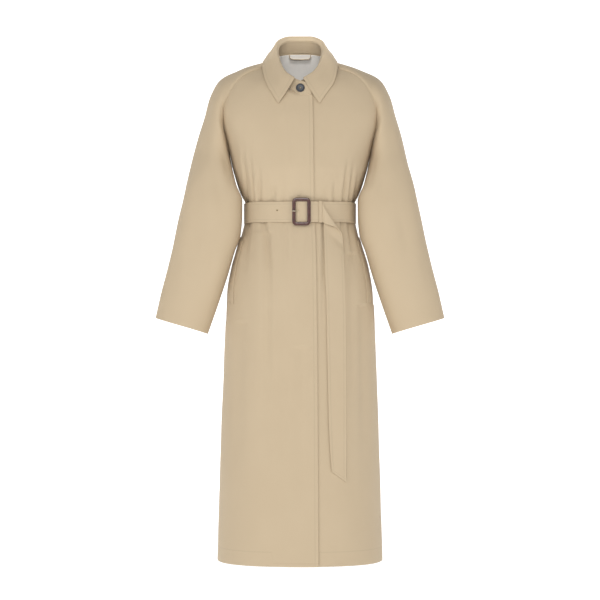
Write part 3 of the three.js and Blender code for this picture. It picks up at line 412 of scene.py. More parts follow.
def new_piece(name, points, quads, uv, values, material, replaces=(), fans=()):
    """A mesh from arrays in millimetres, with its faces turned outwards by the sign of its volume."""
    points, quads = np.asarray(points, float) * MM, np.asarray(quads, int)
    fans = np.asarray(fans, int).reshape(-1, 3)
    a, b, c, d = (points[quads[:, k]] for k in range(4))
    volume = (a * np.cross(b, c)).sum() + (a * np.cross(c, d)).sum()
    volume += (points[fans[:, 0]] * np.cross(points[fans[:, 1]], points[fans[:, 2]])).sum()
    if volume < 0:
        quads, fans = quads[:, ::-1], fans[:, ::-1]
    mesh = bpy.data.meshes.new(name)
    mesh.from_pydata(points, [], quads.tolist() + fans.tolist())
    mesh.polygons.foreach_set("use_smooth", np.ones(len(mesh.polygons), bool))
    corner_points = np.zeros(len(mesh.loops), int)
    mesh.loops.foreach_get("vertex_index", corner_points)
    layer = mesh.uv_layers.new(name="UVMap")
    layer.data.foreach_set("uv", (np.asarray(uv, float)[corner_points] * MM).ravel().astype(np.float32))
    for key, numbers in values.items():
        store = mesh.attributes.new(name=key, type="FLOAT", domain="POINT")
        store.data.foreach_set("value", (np.asarray(numbers, float) * MM).astype(np.float32))
    mesh.materials.append(material)
    mesh.update()
    piece = bpy.data.objects.new(name, mesh)
    bpy.context.scene.collection.objects.link(piece)
    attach(piece, "root")
    if replaces:
        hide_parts(*replaces)
    return piece


FAR = 500.0
CLOTH_WALL, COLLAR_WALL, WELT_WALL, LINING_WALL = 1.3, 1.8, 1.6, 0.8


def lay_out(grid):
    """Lengths across each row and along each column, as a piece of cloth would measure when flat."""
    across = np.cumsum(np.linalg.norm(np.diff(grid, axis=1), axis=-1), axis=1)
    along = np.cumsum(np.linalg.norm(np.diff(grid, axis=0), axis=-1), axis=0)
    return np.pad(across, ((0, 0), (1, 0))), np.pad(along, ((1, 0), (0, 0)))


def shell(
    name, grid, facing, thickness, material, edge=None, hem=None, normals=None, middle=False
):
    """A sheet of cloth on a grid. facing is an outward direction at the grid's middle. middle centres
    the wall."""
    rows, columns = grid.shape[:2]
    if normals is None:
        normals = grid_normals(grid)
    if normals[rows // 2, columns // 2] @ np.asarray(facing, float) < 0:
        normals = -normals
    outer = grid + normals * (thickness / 2 if middle else 0)
    inner = outer - normals * thickness
    across, along = lay_out(grid)
    index = np.arange(rows * columns).reshape(rows, columns)
    ring = np.concatenate([index[0, :-1], index[:-1, -1], index[-1, :0:-1], index[:0:-1, 0]])
    inward = np.zeros_like(grid)
    inward[0] += grid[1] - grid[0]
    inward[-1] += grid[-2] - grid[-1]
    inward[:, 0] += grid[:, 1] - grid[:, 0]
    inward[:, -1] += grid[:, -2] - grid[:, -1]
    flat = lambda a: a.reshape(rows * columns, -1)
    aside = flat(inward)[ring]
    aside /= np.maximum(np.linalg.norm(aside, axis=-1, keepdims=True), 1e-9)
    rim = (flat(outer)[ring] + flat(inner)[ring]) / 2 - aside * thickness * 0.35
    count = rows * columns
    rim_index = 2 * count + np.arange(len(ring))
    following, rim_following = np.roll(ring, -1), np.roll(rim_index, -1)
    quads = np.concatenate([
        grid_quads(index),
        grid_quads(index)[:, ::-1] + count,
        np.stack([following, ring, rim_index, rim_following], axis=-1),
        np.stack([rim_following, rim_index, ring + count, following + count], axis=-1),
    ])
    points = np.concatenate([flat(outer), flat(inner), rim])
    uv = np.stack([across.ravel(), along.ravel()], axis=-1)
    spread = lambda a: np.concatenate([a, a, a[ring]])
    default = np.full((rows, columns), FAR)
    values = {
        "edge_stitch": spread((default if edge is None else edge).ravel()),
        "hem_stitch": spread((default if hem is None else hem).ravel()),
    }
    piece = new_piece(name + "_cloth", points, quads, spread(uv), values, material, [name])
    corners = grid[:-1, :-1], grid[:-1, 1:], grid[1:, :-1], grid[1:, 1:]
    halves = [np.cross(corners[1] - corners[k], corners[2] - corners[k]) for k in (0, 3)]
    area = sum(np.linalg.norm(h, axis=-1).sum() / 2 for h in halves) * MM**2
    width, length = across[:, -1].max() * MM, along[-1].max() * MM
    piece["cut"] = [width, length, area]
    print(f"{name}: {width:.3f} by {length:.3f} m at most, {area:.4f} square metres of cloth")
    return piece


def plain_values(count):
    """Values that put no stitches on a piece."""
    return {"edge_stitch": np.full(count, FAR), "hem_stitch": np.full(count, FAR)}


def tube(name, path, section, material, closed=False, replaces=(), up=(0, 0, 1)):
    """A section of (side, up) offsets carried along a path of points. An open tube's ends close in fans."""
    path = np.asarray(path, float)
    ahead = np.roll(path, -1, 0) - np.roll(path, 1, 0) if closed else np.gradient(path, axis=0)
    ahead /= np.linalg.norm(ahead, axis=-1, keepdims=True)
    side = np.cross(ahead, np.broadcast_to(up, ahead.shape))
    side /= np.linalg.norm(side, axis=-1, keepdims=True)
    top = np.cross(side, ahead)
    rings = path[:, None] + side[:, None] * section[None, :, :1] + top[:, None] * section[None, :, 1:]
    rows, columns = rings.shape[:2]
    index = np.arange(rows * columns).reshape(rows, columns)
    here, following = (index, np.roll(index, -1, 0)) if closed else (index[:-1], index[1:])
    quads = np.stack([here, np.roll(here, -1, 1), np.roll(following, -1, 1), following], axis=-1).reshape(-1, 4)
    run = np.broadcast_to(lengths(path)[:, None], (rows, columns))
    round_it = np.broadcast_to(np.linspace(0, 1, columns) * np.abs(section).max() * 6, (rows, columns))
    points, uv = rings.reshape(-1, 3), np.stack([round_it.ravel(), run.ravel()], axis=-1)
    fans = np.zeros((0, 3), int)
    if not closed:
        first, last = index[0], index[-1]
        points = np.concatenate([points, path[:1], path[-1:]])
        uv = np.concatenate([uv, uv[:1], uv[-1:]])
        middle = np.full(columns, rows * columns)
        fans = np.concatenate([
            np.stack([np.roll(first, -1), first, middle], axis=-1),
            np.stack([last, np.roll(last, -1), middle + 1], axis=-1),
        ])
    return new_piece(name, points, quads, uv, plain_values(len(points)), material, replaces, fans)


def ellipse(half_side, half_up, count, power=2.0):
    """A closed section: |side|^p + |up|^p = 1, rounder at power 2 and squarer above."""
    a = np.linspace(0, 2 * math.pi, count, endpoint=False)
    soft = lambda v: np.sign(v) * np.abs(v) ** (2 / power)
    return np.stack([half_side * soft(np.cos(a)), half_up * soft(np.sin(a))], axis=-1)


# %% [markdown]
# ## Shader maths as plain expressions
#
# A cloth's weave, stitches and shade are sums and products of a few patterns. The class below wraps a
# socket, so that an expression on it adds the Math nodes that it needs. Numbers that are the same all
# over the surface stay plain numbers, and any other node comes from one method.

# %% The shader class
class Value:
    """An output of a shader node that can be added, multiplied and so on."""

    def __init__(self, shader, socket):
        self.shader, self.socket = shader, socket

    def maths(self, operation, *others):
        return self.shader.node("ShaderNodeMath", {"operation": operation}, [self, *others])

    def __add__(self, other):
        return self.maths("ADD", other)

    def __mul__(self, other):
        return self.maths("MULTIPLY", other)

    def __sub__(self, other):
        return self.maths("SUBTRACT", other)

    def __rsub__(self, other):
        return self.shader.node("ShaderNodeMath", {"operation": "SUBTRACT"}, [other, self])

    def __truediv__(self, other):
        return self.maths("DIVIDE", other)

    __radd__, __rmul__ = __add__, __mul__

    def bell(self, width):
        """exp(-(v / width)^2): 1 on a line and nothing away from it."""
        scaled = self / width
        return self.shader.node("ShaderNodeMath", {"operation": "POWER"}, [math.e, scaled * scaled * -1.0])


class Shader:
    """A new material with one Principled BSDF."""

    def __init__(self, name, **constants):
        self.material = bpy.data.materials.new(name)
        self.material.use_nodes = True
        self.tree = self.material.node_tree
        self.tree.nodes.clear()
        self.surface = self.tree.nodes.new("ShaderNodeBsdfPrincipled")
        output = self.tree.nodes.new("ShaderNodeOutputMaterial")
        self.tree.links.new(self.surface.outputs[0], output.inputs["Surface"])
        for key, number in constants.items():
            self.surface.inputs[key.replace("_", " ")].default_value = number

    def node(self, kind, settings=None, values=(), output=0):
        """A node of a type, its settings set first, then its sockets by number or name."""
        made = self.tree.nodes.new(kind)
        for key, setting in (settings or {}).items():
            setattr(made, key, setting)
        pairs = values.items() if isinstance(values, dict) else enumerate(values)
        for key, value in pairs:
            if isinstance(value, Value):
                self.tree.links.new(value.socket, made.inputs[key])
            else:
                made.inputs[key].default_value = value
        return Value(self, made.outputs[output])

    def blend(self, factor, first, second):
        """A colour mix. The Mix node keeps its colour sockets at 6 and 7, and its colour output is 2."""
        colours = [c if isinstance(c, Value) else (*c, 1) for c in (first, second)]
        return self.node("ShaderNodeMix", {"data_type": "RGBA"}, {0: factor, 6: colours[0], 7: colours[1]}, 2)

    def stored(self, name):
        """A piece's own value, by its name, and 2 for the number among the Attribute node's outputs."""
        return self.node("ShaderNodeAttribute", {"attribute_name": name}, (), 2)

    def cloth_place(self):
        """The UV map's place, and its two directions by themselves, in metres of cloth."""
        place = self.node("ShaderNodeUVMap", {"uv_map": "UVMap"})
        u, v = (self.node("ShaderNodeSeparateXYZ", {}, [place], part) for part in (0, 1))
        return place, u, v

    def set(self, **inputs):
        for key, value in inputs.items():
            self.tree.links.new(value.socket, self.surface.inputs[key.replace("_", " ")])

    def bump(self, height, distance, strength=1.0):
        made = self.node("ShaderNodeBump", {}, {"Height": height, "Distance": distance, "Strength": strength})
        self.set(Normal=made)


def linear(red, green, blue):
    """Light values of a colour that is given as it looks on a screen, 0 to 255."""
    one = lambda c: c / 12.92 if c <= 0.04045 else ((c + 0.055) / 1.055) ** 2.4
    return tuple(one(c / 255) for c in (red, green, blue))


# %% [markdown]
# ## The cloths
#
# The coat is cut from a fine, tightly woven twill with a dry, faint sheen. Its diagonal ribs are about
# 0.8 mm apart. The pattern lies in the UV map, so it runs with the cloth and not with the room. A row of
# stitches is a narrow groove with a thread in it, dashed along the row, where the piece's stored distance
# is near zero. Besides its dent in the bump, the groove's colour is darkened as painted shade.

# %% Twill and lining
TWILL_PITCH, STITCH_PITCH = 0.0008, 0.0030


def twill(name, colour, shade, rib=0.00006):
    """Beige twill: base colour with slow and fine unevenness, ribs, and rows of stitches whose grooves are
    darkened with painted shade.
    """
    cloth = Shader(name, Roughness=0.8, Sheen_Weight=0.12, Sheen_Roughness=0.5, Specular_IOR_Level=0.25)
    cloth.surface.inputs["Sheen Tint"].default_value = (1.0, 0.96, 0.9, 1)
    place, u, v = cloth.cloth_place()
    slow = cloth.node("ShaderNodeTexNoise", {}, {"Vector": place, "Scale": 9.0, "Detail": 3.0})
    slub = cloth.node("ShaderNodeTexNoise", {}, {"Vector": place, "Scale": 900.0, "Detail": 2.0})
    ribs = ((u + v) * (2 * math.pi / TWILL_PITCH)).maths("SINE")
    yarn = ((u - v) * (2 * math.pi / (TWILL_PITCH * 0.62))).maths("SINE")
    along = (u + v) * (2 * math.pi / STITCH_PITCH)
    dash = along.maths("SINE") * 0.5 + 0.5
    edge, hem = cloth.stored("edge_stitch"), cloth.stored("hem_stitch")
    groove = edge.bell(0.0011).maths("MAXIMUM", hem.bell(0.0011))
    thread = edge.bell(0.00042).maths("MAXIMUM", hem.bell(0.00042)) * dash
    uneven = slow * 0.5 + slub * 0.35 + ribs * 0.04
    toned = cloth.blend(uneven, shade, colour)
    # painted shade: the stitch groove's colour is darkened towards 0.55 of the beige, as shade in the dent
    with_painted_groove_shade = cloth.blend(groove * 0.2, toned, tuple(0.55 * c for c in colour))
    finished = cloth.blend(thread * 0.25, with_painted_groove_shade, tuple(min(1.0, 1.1 * c) for c in colour))
    cloth.set(Base_Color=finished, Roughness=slub * 0.16 + 0.7)
    relief = ribs * rib + yarn * (rib * 0.4) + slub * 0.00022 - groove * 0.0002 + thread * 0.00014
    cloth.bump(relief, 1.0)
    return cloth.material


BEIGE, BEIGE_SHADE = linear(206, 187, 158), linear(196, 176, 146)
beige_twill = twill("beige_twill", BEIGE, BEIGE_SHADE)


def smooth_lining():
    """Pale satin lining: closer and shinier than the twill."""
    cloth = Shader("pale_lining", Roughness=0.55, Sheen_Weight=0.1, Specular_IOR_Level=0.35)
    place, u = cloth.cloth_place()[:2]
    slub = cloth.node("ShaderNodeTexNoise", {}, {"Vector": place, "Scale": 500.0, "Detail": 2.0})
    warp = (u * (2 * math.pi / 0.0006)).maths("SINE")
    cloth.set(Base_Color=cloth.blend(slub, linear(238, 235, 228), linear(248, 245, 240)))
    cloth.bump(warp * 0.00002 + slub * 0.00006, 1.0)
    return cloth.material


pale_lining = smooth_lining()
print("cloths:", beige_twill.name, "and", pale_lining.name)

# %% [markdown]
# ## The hard trims
#
# The button is dark and half matt. The buckle is a brown lacquer with slightly redder clouds in it and a
# clear coat, which is what puts the small bright marks on its corners. The pin is pale metal with fine
# brushing.

# %% Button, buckle, pin and thread
def cloudy(name, dark, light, scale, roughness, coat, metallic=0.0, grain=0.00004):
    """Two tones in soft clouds under a coat, read from the object's own place."""
    trim = Shader(name, Metallic=metallic, Coat_Weight=coat, Coat_Roughness=0.12)
    place = trim.node("ShaderNodeTexCoord", {}, (), 3)
    clouds = trim.node("ShaderNodeTexNoise", {}, {"Vector": place, "Scale": scale, "Detail": 4.0})
    fine = trim.node("ShaderNodeTexNoise", {}, {"Vector": place, "Scale": 1500.0, "Detail": 2.0})
    trim.set(Base_Color=trim.blend(clouds, dark, light), Roughness=fine * 0.12 + roughness)
    trim.bump(fine * grain, 1.0)
    return trim.material


dark_horn = cloudy("dark_horn", linear(24, 26, 32), linear(52, 56, 64), 260.0, 0.3, 0.15)
brown_lacquer = cloudy("brown_lacquer", linear(38, 20, 17), linear(96, 46, 34), 120.0, 0.2, 0.6)
pale_metal = cloudy("pale_metal", linear(190, 178, 152), linear(222, 212, 190), 300.0, 0.24, 0.0, 1.0)
beige_thread = cloudy(
    "beige_thread", linear(176, 156, 120), linear(206, 188, 152), 2000.0, 0.75, 0.0, 0.0, 0.0001
)
# painted shade: a dark material for the eyelets' discs, which stand in for the shadow in their holes
hole_shade = cloudy("hole_shade", linear(58, 47, 36), linear(74, 61, 46), 900.0, 0.85, 0.0)
print("trims:", dark_horn.name, brown_lacquer.name, pale_metal.name, beige_thread.name)

# %% [markdown]
# ## The two fronts
#
# The wearer's right front lies on top and ends in a clean, stitched closing edge. The buttons behind it
# don't show. Both fronts run from the hem up to the neck seam, and end at the side seam and the raglan
# seam. The right one's hem is stitched 34 mm up, and its facing, which comes first at the closing edge,
# is stitched close to the hem instead.

# %% Cut and drape the fronts
EDGE_STITCH_IN, HEM_STITCH_UP, FACING_END_X = 8.0, 34.0, -66.0


def front_panel(side, rows=300, columns=74):
    """The grid runs from the closing edge to the side seam, and from the hem to the neck."""
    up = samples(rows, 0.0008)
    middle_z = front_half.at(np.zeros_like(up), up)[:, 2]
    reach = CLOSING_EDGE(middle_z) if side < 0 else np.full_like(up, UNDERLAP)
    start = -front_half.turn_at(reach, up)
    turn = mix(start[:, None], 1.0, samples(columns, 0.004)[None, :])
    grid = front_points(side, turn, np.broadcast_to(up[:, None], turn.shape))
    across, along = lay_out(grid)
    hem = along - HEM_STITCH_UP
    if side < 0:
        hem = np.where(grid[..., 0] > FACING_END_X, along - EDGE_STITCH_IN, hem)
    edge = across - EDGE_STITCH_IN if side < 0 else None
    name = "front_right" if side < 0 else "front_left"
    return shell(name, grid, (0, -1, 0), CLOTH_WALL, beige_twill, edge=edge, hem=hem)


front_panel(-1)
front_panel(1)

# %% [markdown]
# ## The back
#
# The photo doesn't show the back. It's cut as such a coat's back is: one plain panel, gathered by the
# belt into folds like the front's, with the same stitched hem.

# %% Cut and drape the back
def back_panel(rows=300, columns=130):
    up = samples(rows, 0.0008)
    turn = mix(-1.0, 1.0, samples(columns, 0.002))[None, :]
    turn, up = np.broadcast_arrays(turn, up[:, None])
    grid = back_points(turn, up)
    return shell("back", grid, (0, 1, 0), CLOTH_WALL, beige_twill, hem=lay_out(grid)[1] - HEM_STITCH_UP)


back_panel()

# %% [markdown]
# ## The raglan sleeves
#
# A raglan sleeve has no seam on the shoulder's end: it runs up to the neck between front and back. Above
# the underarm it's an open piece whose two edges are the raglan seams. Below, its edges meet in one seam
# along the inner arm. A section is an oval from the seam round the outer line and back.

# %% Cut and drape the sleeves
shoulder_at = lengths(SHOULDER_LINE)
shoulder_path = curve(shoulder_at / shoulder_at[-1], SHOULDER_LINE)
STEPS = np.arange(len(SLEEVE_SECTIONS))
sleeve_measure = curve(STEPS, SLEEVE_SECTIONS)


def sleeve_half(seam, outer, middle_y, depth, reach, sign, t):
    """Half an oval, from the seam (t 0) to the outer line (t 1). Its front reaches in over the body."""
    rise = np.minimum(np.abs(seam[:, 1] - middle_y) / depth, 0.9999)
    start = np.arcsin(rise)[:, None]
    angle = mix(start, math.pi, t[None, :])
    across = (np.cos(start) - np.cos(angle)) / (np.cos(start) + 1)
    inward = REACH_TO_ONE * np.sin(t * math.pi) ** 2 * (1 + np.cos(t * math.pi))
    x = mix(seam[:, :1], outer[:, :1], across)
    if sign < 0:
        x = x - reach[:, None] * inward[None, :]
    y = middle_y[:, None] + sign * depth[:, None] * np.sin(angle)
    return np.stack([x, y, mix(seam[:, 2:], outer[:, 2:], across)], axis=-1)


def eased(grid, middle_row, reach=24, rounds=60):
    """Rows near the underarm, averaged with the rows above and below, so that no crease runs round the
    sleeve."""
    row, column = np.arange(len(grid)), np.linspace(0, 1, grid.shape[1])
    near = smoothstep(np.abs(row - middle_row), reach, reach / 3)[:, None]
    off_seam = smoothstep(np.minimum(column, 1 - column), 0, 0.08)[None, :]
    weight = (0.5 * near * off_seam)[1:-1, :, None]
    for _ in range(rounds):
        grid[1:-1] += weight * ((grid[:-2] + grid[2:]) / 2 - grid[1:-1])
    return grid


def sleeve_grid(upper_rows=86, lower_rows=150, half_columns=46):
    """The wearer's left sleeve, from the neck to the cuff, front seam to back seam."""
    t = np.unique(np.concatenate([[0, 0.006], np.linspace(0, 1, half_columns)]))
    s = np.concatenate([[0, 0.004], np.linspace(0, 1, upper_rows)[1:-1]])
    seams = [half.at(1.0, mix(1.0, half.underarm, s)) for half in (front_half, back_half)]
    outer = shoulder_path(s)
    depths = [
        np.maximum(SLEEVE_FRONT_DEPTH(s), (outer[:, 1] - seams[0][:, 1]) * 1.001),
        np.maximum(SLEEVE_BACK_DEPTH(s), (seams[1][:, 1] - outer[:, 1]) * 1.001),
    ]
    step = STEPS[-1] * samples(lower_rows, 0.002)
    inner_x, inner_z, outer_x, outer_z, middle_y, depth, reach = sleeve_measure(step).T
    inner = np.stack([inner_x, middle_y, inner_z], axis=-1)
    low_outer = np.stack([outer_x, middle_y, outer_z], axis=-1)
    halves = []
    for seam, deep, sign in zip(seams, depths, (-1, 1)):
        high = sleeve_half(seam, outer, outer[:, 1], deep, SLEEVE_REACH(s), sign, t)
        low = sleeve_half(inner, low_outer, middle_y, depth, reach, sign, t)
        halves.append(np.concatenate([high, low]))
    return eased(np.concatenate([halves[0], halves[1][:, -2::-1]], axis=1), len(s)), len(s)


def sleeve(side):
    grid, open_rows = sleeve_grid()
    normals = grid_normals(grid)
    before, after = grid[open_rows:, -2], grid[open_rows:, 1]
    run = np.gradient(grid[open_rows:, 0], axis=0)
    seam_normal = np.cross(after - before, run)
    seam_normal /= np.linalg.norm(seam_normal, axis=-1, keepdims=True)
    normals[open_rows:, 0] = normals[open_rows:, -1] = seam_normal
    if normals[len(grid) // 2, grid.shape[1] // 2, 0] < 0:
        normals = -normals
    x, z = grid[..., 0], grid[..., 2]
    columns = grid.shape[1]
    front_side = smoothstep(np.linspace(1, -1, columns), -0.05, 0.05)[None, :]
    seed = 21 if side < 0 else 34
    lean = 4 if side < 0 else -3
    folds = fold_out(SLEEVE_FRONT_FOLDS + [lean, 0, -lean, 0, 0, 0, 0], x, z, False) * front_side
    folds = folds + fold_out(SLEEVE_BACK_FOLDS + [-lean, 0, lean, 0, 0, 0, 0], x, z, False) * (1 - front_side)
    across, along = lay_out(grid)
    from_seam = np.minimum(across, across[:, -1:] - across)
    calm = smoothstep(from_seam, 0, 26) * smoothstep(along, 0, 60)
    out = (folds + slow_waves(x + 2 * grid[..., 1], z, seed, 0.9)) * calm
    grid = grid + normals * out[..., None]
    upper = smoothstep(np.arange(len(grid)), open_rows, open_rows - 6)[:, None]
    edge = np.where(upper > 0.5, across - 5.0, 60.0)
    grid[..., 0] *= side
    normals[..., 0] *= side
    name = "sleeve_right" if side < 0 else "sleeve_left"
    return shell(name, grid, (side, 0, 0), CLOTH_WALL, beige_twill, edge=edge, normals=normals)


sleeve(-1)
sleeve(1)

# %% [markdown]
# ## The collar
#
# A shirt collar is two pieces: the stand, a band round the neck, and the fall, which rolls over it. The
# fall goes from its seam on the stand, up over the roll line and down to an edge with two points. Four
# lines round the neck carry it, and its edge is stitched 8 mm in. The stand laps at the front as the
# fronts do.

# %% The fall and the stand
def collar_fall(around=150, across=38):
    """Each section is a smooth curve through the seam, the roll, the middle of the fall and its edge."""
    side_at = np.linspace(-1, 1, around)
    side_at = np.unique(np.concatenate([side_at, [-0.996, 0.996]]))
    t = samples(across, 0.012)
    lines = np.array([line(np.abs(side_at)) for line in (FALL_SEAM, ROLL, FALL_MIDDLE, FALL_EDGE)])
    spread = np.broadcast_to(lines[:, None], (4, len(t), len(side_at), 3))
    sections = through([0, 0.2, 0.55, 1], spread, np.broadcast_to(t[:, None], (len(t), len(side_at))))
    mirrored = on_top(sections)
    sections[..., 0] -= LEFT_POINT_IN * smoothstep(side_at, 0.75, 1)
    grid = np.where((side_at < 0)[None, :, None], mirrored, sections)
    across_run, along_run = lay_out(grid)
    to_edge = np.minimum(along_run[-1:] - along_run, np.minimum(across_run, across_run[:, -1:] - across_run))
    bow = smoothstep(np.broadcast_to(t[:, None], to_edge.shape), 0.3, 0.7) * smoothstep(to_edge, 0, 22)
    normals = grid_normals(grid)
    if normals[-1, len(side_at) // 2, 1] < 0:
        normals = -normals
    grid = grid + normals * (bow * (0.8 + slow_waves(grid[..., 0], grid[..., 2], 5, 0.5)))[..., None]
    return shell("collar", grid, (0, 1, 0), COLLAR_WALL, beige_twill, edge=to_edge - 7.6, hem=along_run - 9.0)


def collar_stand(steps=60):
    """A band between two lines round the neck. The wearer's right end laps over the left and is rounded."""
    at = np.linspace(1, 0, steps)
    inward = 2.9 * smoothstep(at, 0.72, 0.92)
    seam_lift, lap_lift = 0.6, 0.9
    left_base = NECK_SEAM(at) + np.stack([0 * at, inward, 0 * at + seam_lift], axis=-1)
    left_top = STAND_TOP(at) + np.stack([0 * at, inward, 0 * at], axis=-1)
    right_base = on_top(NECK_SEAM(at[::-1]) + [0, 0, lap_lift])[1:]
    right_top = on_top(STAND_TOP(at[::-1]))[1:]
    front_y, base_z = NECK_SEAM(1.0)[1] - LAP_RAISE, NECK_SEAM(1.0)[2] + lap_lift
    end_x = np.linspace(2, 27.5, 20)
    end_top = curve([0, 9, 18, 24, 27.5], [-60, -62, -66, -72.5, -82])(end_x)
    end_base = np.stack([end_x, 0 * end_x + front_y, 0 * end_x + base_z], axis=-1)
    end_lean = mix(5.0, 1.5, end_x / 28)
    end_edge = np.stack([end_x, front_y + end_lean, end_top], axis=-1)
    under_x = np.linspace(-19, -3, 8)[:, None]
    under = mix(np.array([[-19, -85, -90]]), left_base[:1], (under_x + 19) / 19)
    under_top = mix(np.array([[-16, -82, -64]]), left_top[:1], (under_x + 19) / 19)
    base = np.concatenate([under, left_base, right_base, end_base])
    top = np.concatenate([under_top, left_top, right_top, end_edge])
    t = samples(12, 0.03)[:, None, None]
    grid = mix(base[None], top[None], t)
    across_run, along_run = lay_out(grid)
    to_edge = np.minimum(along_run[-1:] - along_run, across_run[:, -1:] - across_run)
    return shell("collar_stand", grid, (0, 1, 0), COLLAR_WALL, beige_twill, edge=np.minimum(to_edge - 3.0, 40))


collar_fall()
collar_stand()

# %% [markdown]
# ## Inside the back neck
#
# The pale lining is the back's own form, moved in. A loop of rouleau cord is sewn to it, to hang the coat
# by. Its ends are pressed flat under the stand, and its middle droops.

# %% Lining and hanger loop
def back_lining(lowest=-118.0, half_width=78.0):
    up = mix(back_half.up_at(lowest, 0.0), 0.997, samples(50, 0.01))
    widest = np.minimum(0.96, back_half.turn_at(half_width, up))
    turn = widest[:, None] * np.linspace(-1, 1, 66)[None, :]
    grid = back_half.at(np.abs(turn), np.broadcast_to(up[:, None], turn.shape))
    grid[..., 0] *= np.where(turn < 0, -1, 1)
    normals = grid_normals(grid)
    if normals[25, 33, 1] < 0:
        normals = -normals
    pleat = 0.7 * np.exp(-((grid[..., 0] / 5) ** 2))
    grid = grid - normals * (2.6 + pleat)[..., None]
    return shell("back_lining", grid, (0, 1, 0), LINING_WALL, pale_lining)


back_lining()

loop_t = np.linspace(-1, 1, 81)
loop_path = np.stack([
    26 * np.sin(loop_t * math.pi / 2),
    mix(63.6, 68.6, 1 - loop_t**2),
    20.5 - 12 * np.sqrt(np.maximum(0, 1 - np.abs(loop_t) ** 3.2)),
], axis=-1)
loop_section = ellipse(0.9, 2.3, 16, 2.6)
tube(
    "hanger_cord", loop_path, loop_section, beige_twill,
    replaces=["hanger_loop"], up=(0, 1, 0.001)
)
print("hanger loop:", round(float(lengths(loop_path)[-1])), "mm of cord")

# %% [markdown]
# ## The collar button
#
# A four-hole button is turned on a lathe: its section goes out over a raised rim, and the surface sinks
# at four places for the holes. Its height is a function of the radius and the angle, so the holes come
# from the same grid as the rim does. The stitches through the holes are short bars of thread.

# %% Button, its thread and the buttonhole
BUTTON_RADIUS, STAND_LEAN = 10.4, 0.148
BUTTON_CENTRE = np.array([0.7, -94.6, -77.2])


def on_stand(local):
    """From the button's own x, y and height to the stand's slanting front."""
    x, y, height = local[..., 0], local[..., 1], local[..., 2]
    lean = STAND_LEAN
    depth = -height * math.cos(lean) + y * math.sin(lean)
    level = y * math.cos(lean) + height * math.sin(lean)
    return np.stack([x, depth, level], axis=-1) + BUTTON_CENTRE


def collar_button():
    profile_at = np.array([0, 0.1, 0.62, 0.74, 0.88, 1.0, 1.04, 0.9, 0.5, 0.02])
    run = np.array([0, 1, 6, 7.2, 8.6, 10, 11.2, 13, 17, 22.0])
    height = curve(run, [1.8, 1.8, 1.95, 2.7, 3.0, 2.2, 1.1, 0.0, 0.0, 0.0])
    radius = curve(run, profile_at * BUTTON_RADIUS * 0.965)
    s, angle = np.linspace(0.05, 22, 110), np.linspace(0, 2 * math.pi, 96, endpoint=False)
    r, h = radius(s)[:, None], height(s)[:, None]
    x, y = r * np.cos(angle), r * np.sin(angle)
    holes = sum(np.exp(-(((x - a) ** 2 + (y - b) ** 2) / 0.55)) for a in (-1.5, 1.5) for b in (-1.5, 1.5))
    h = h - np.where(s[:, None] < 6, 1.1 * holes, 0)
    points = on_stand(np.stack([x, y, np.broadcast_to(h, x.shape)], axis=-1))
    rows, columns = x.shape
    index = np.arange(rows * columns).reshape(rows, columns)
    here, following = index[:-1], index[1:]
    quads = np.stack([here, np.roll(here, -1, 1), np.roll(following, -1, 1), following], axis=-1).reshape(-1, 4)
    ends = np.array([[0, 0, 1.8], [0, 0, 0.0]])
    points = np.concatenate([points.reshape(-1, 3), on_stand(ends)])
    first, last, middle = index[0], index[-1], np.full(columns, rows * columns)
    fans = np.concatenate([
        np.stack([np.roll(first, -1), first, middle], axis=-1),
        np.stack([last, np.roll(last, -1), middle + 1], axis=-1),
    ])
    uv = np.concatenate([np.stack([x.ravel(), y.ravel()], axis=-1), np.zeros((2, 2))])
    values = plain_values(len(points))
    return new_piece("horn_button", points, quads, uv, values, dark_horn, ["collar_button"], fans)


THREAD = ellipse(0.42, 0.42, 10)
collar_button()
for number, (ax, bx) in enumerate((((-1.5, -1.5), (1.5, 1.5)), ((-1.5, 1.5), (1.5, -1.5)))):
    t = np.linspace(0, 1, 14)[:, None]
    flat_run = mix(np.array([ax]), np.array([bx]), t)
    arch = 1.5 + (0.95 + 0.15 * number) * np.sin(t * math.pi) ** 0.6
    bar = on_stand(np.concatenate([flat_run, arch], axis=1))
    tube(f"button_thread_{number + 1}", bar, THREAD, beige_thread, up=(0, -1, 0.1))
print("collar button:", round(2 * BUTTON_RADIUS, 1), "mm across")


# %% [markdown]
# ## Pocket welts
#
# Each side pocket opens in a slanting seam near the side, behind a narrow welt. The welt is the front's
# own surface, moved out by its thickness, so it follows every fold under it.

# %% Cut the welts
def pocket_welt(side, top_z=-440.0, bottom_z=-590.0, slant=13.0):
    down = samples(60, 0.006)[:, None]
    t = samples(20, 0.03)[None, :]
    down, t = np.broadcast_arrays(down, t)
    z = mix(top_z, bottom_z, down) + slant * t * mix(0.8, 1.0, down)
    turn = mix(0.77, 0.705, down) + 0.175 * t
    grid = front_points(side, turn, front_half.up_at(z, turn))
    normals = grid_normals(grid)
    facing = np.array([side, -0.5, 0])
    if normals[30, 10] @ facing < 0:
        normals = -normals
    across, along = lay_out(grid)
    to_edge = np.minimum(np.minimum(along, along[-1:] - along), across)
    grid = grid + normals * (1.6 + 0.9 * smoothstep(to_edge, 0, 4))[..., None]
    name = "pocket_welt_right" if side < 0 else "pocket_welt_left"
    return shell(name, grid, facing, WELT_WALL, beige_twill, edge=to_edge - 3.0)


pocket_welt(-1)
pocket_welt(1)

# %% [markdown]
# ## The belt
#
# The belt is one strap, 48 mm wide, stitched along both edges. It starts round the buckle's bar, goes
# round the waist, comes back over the bar and under the keeper. Then its free end turns down over itself,
# folds back along a slanting line and hangs down the skirt. Its stations are pairs of points, its top and
# bottom edge, in order.

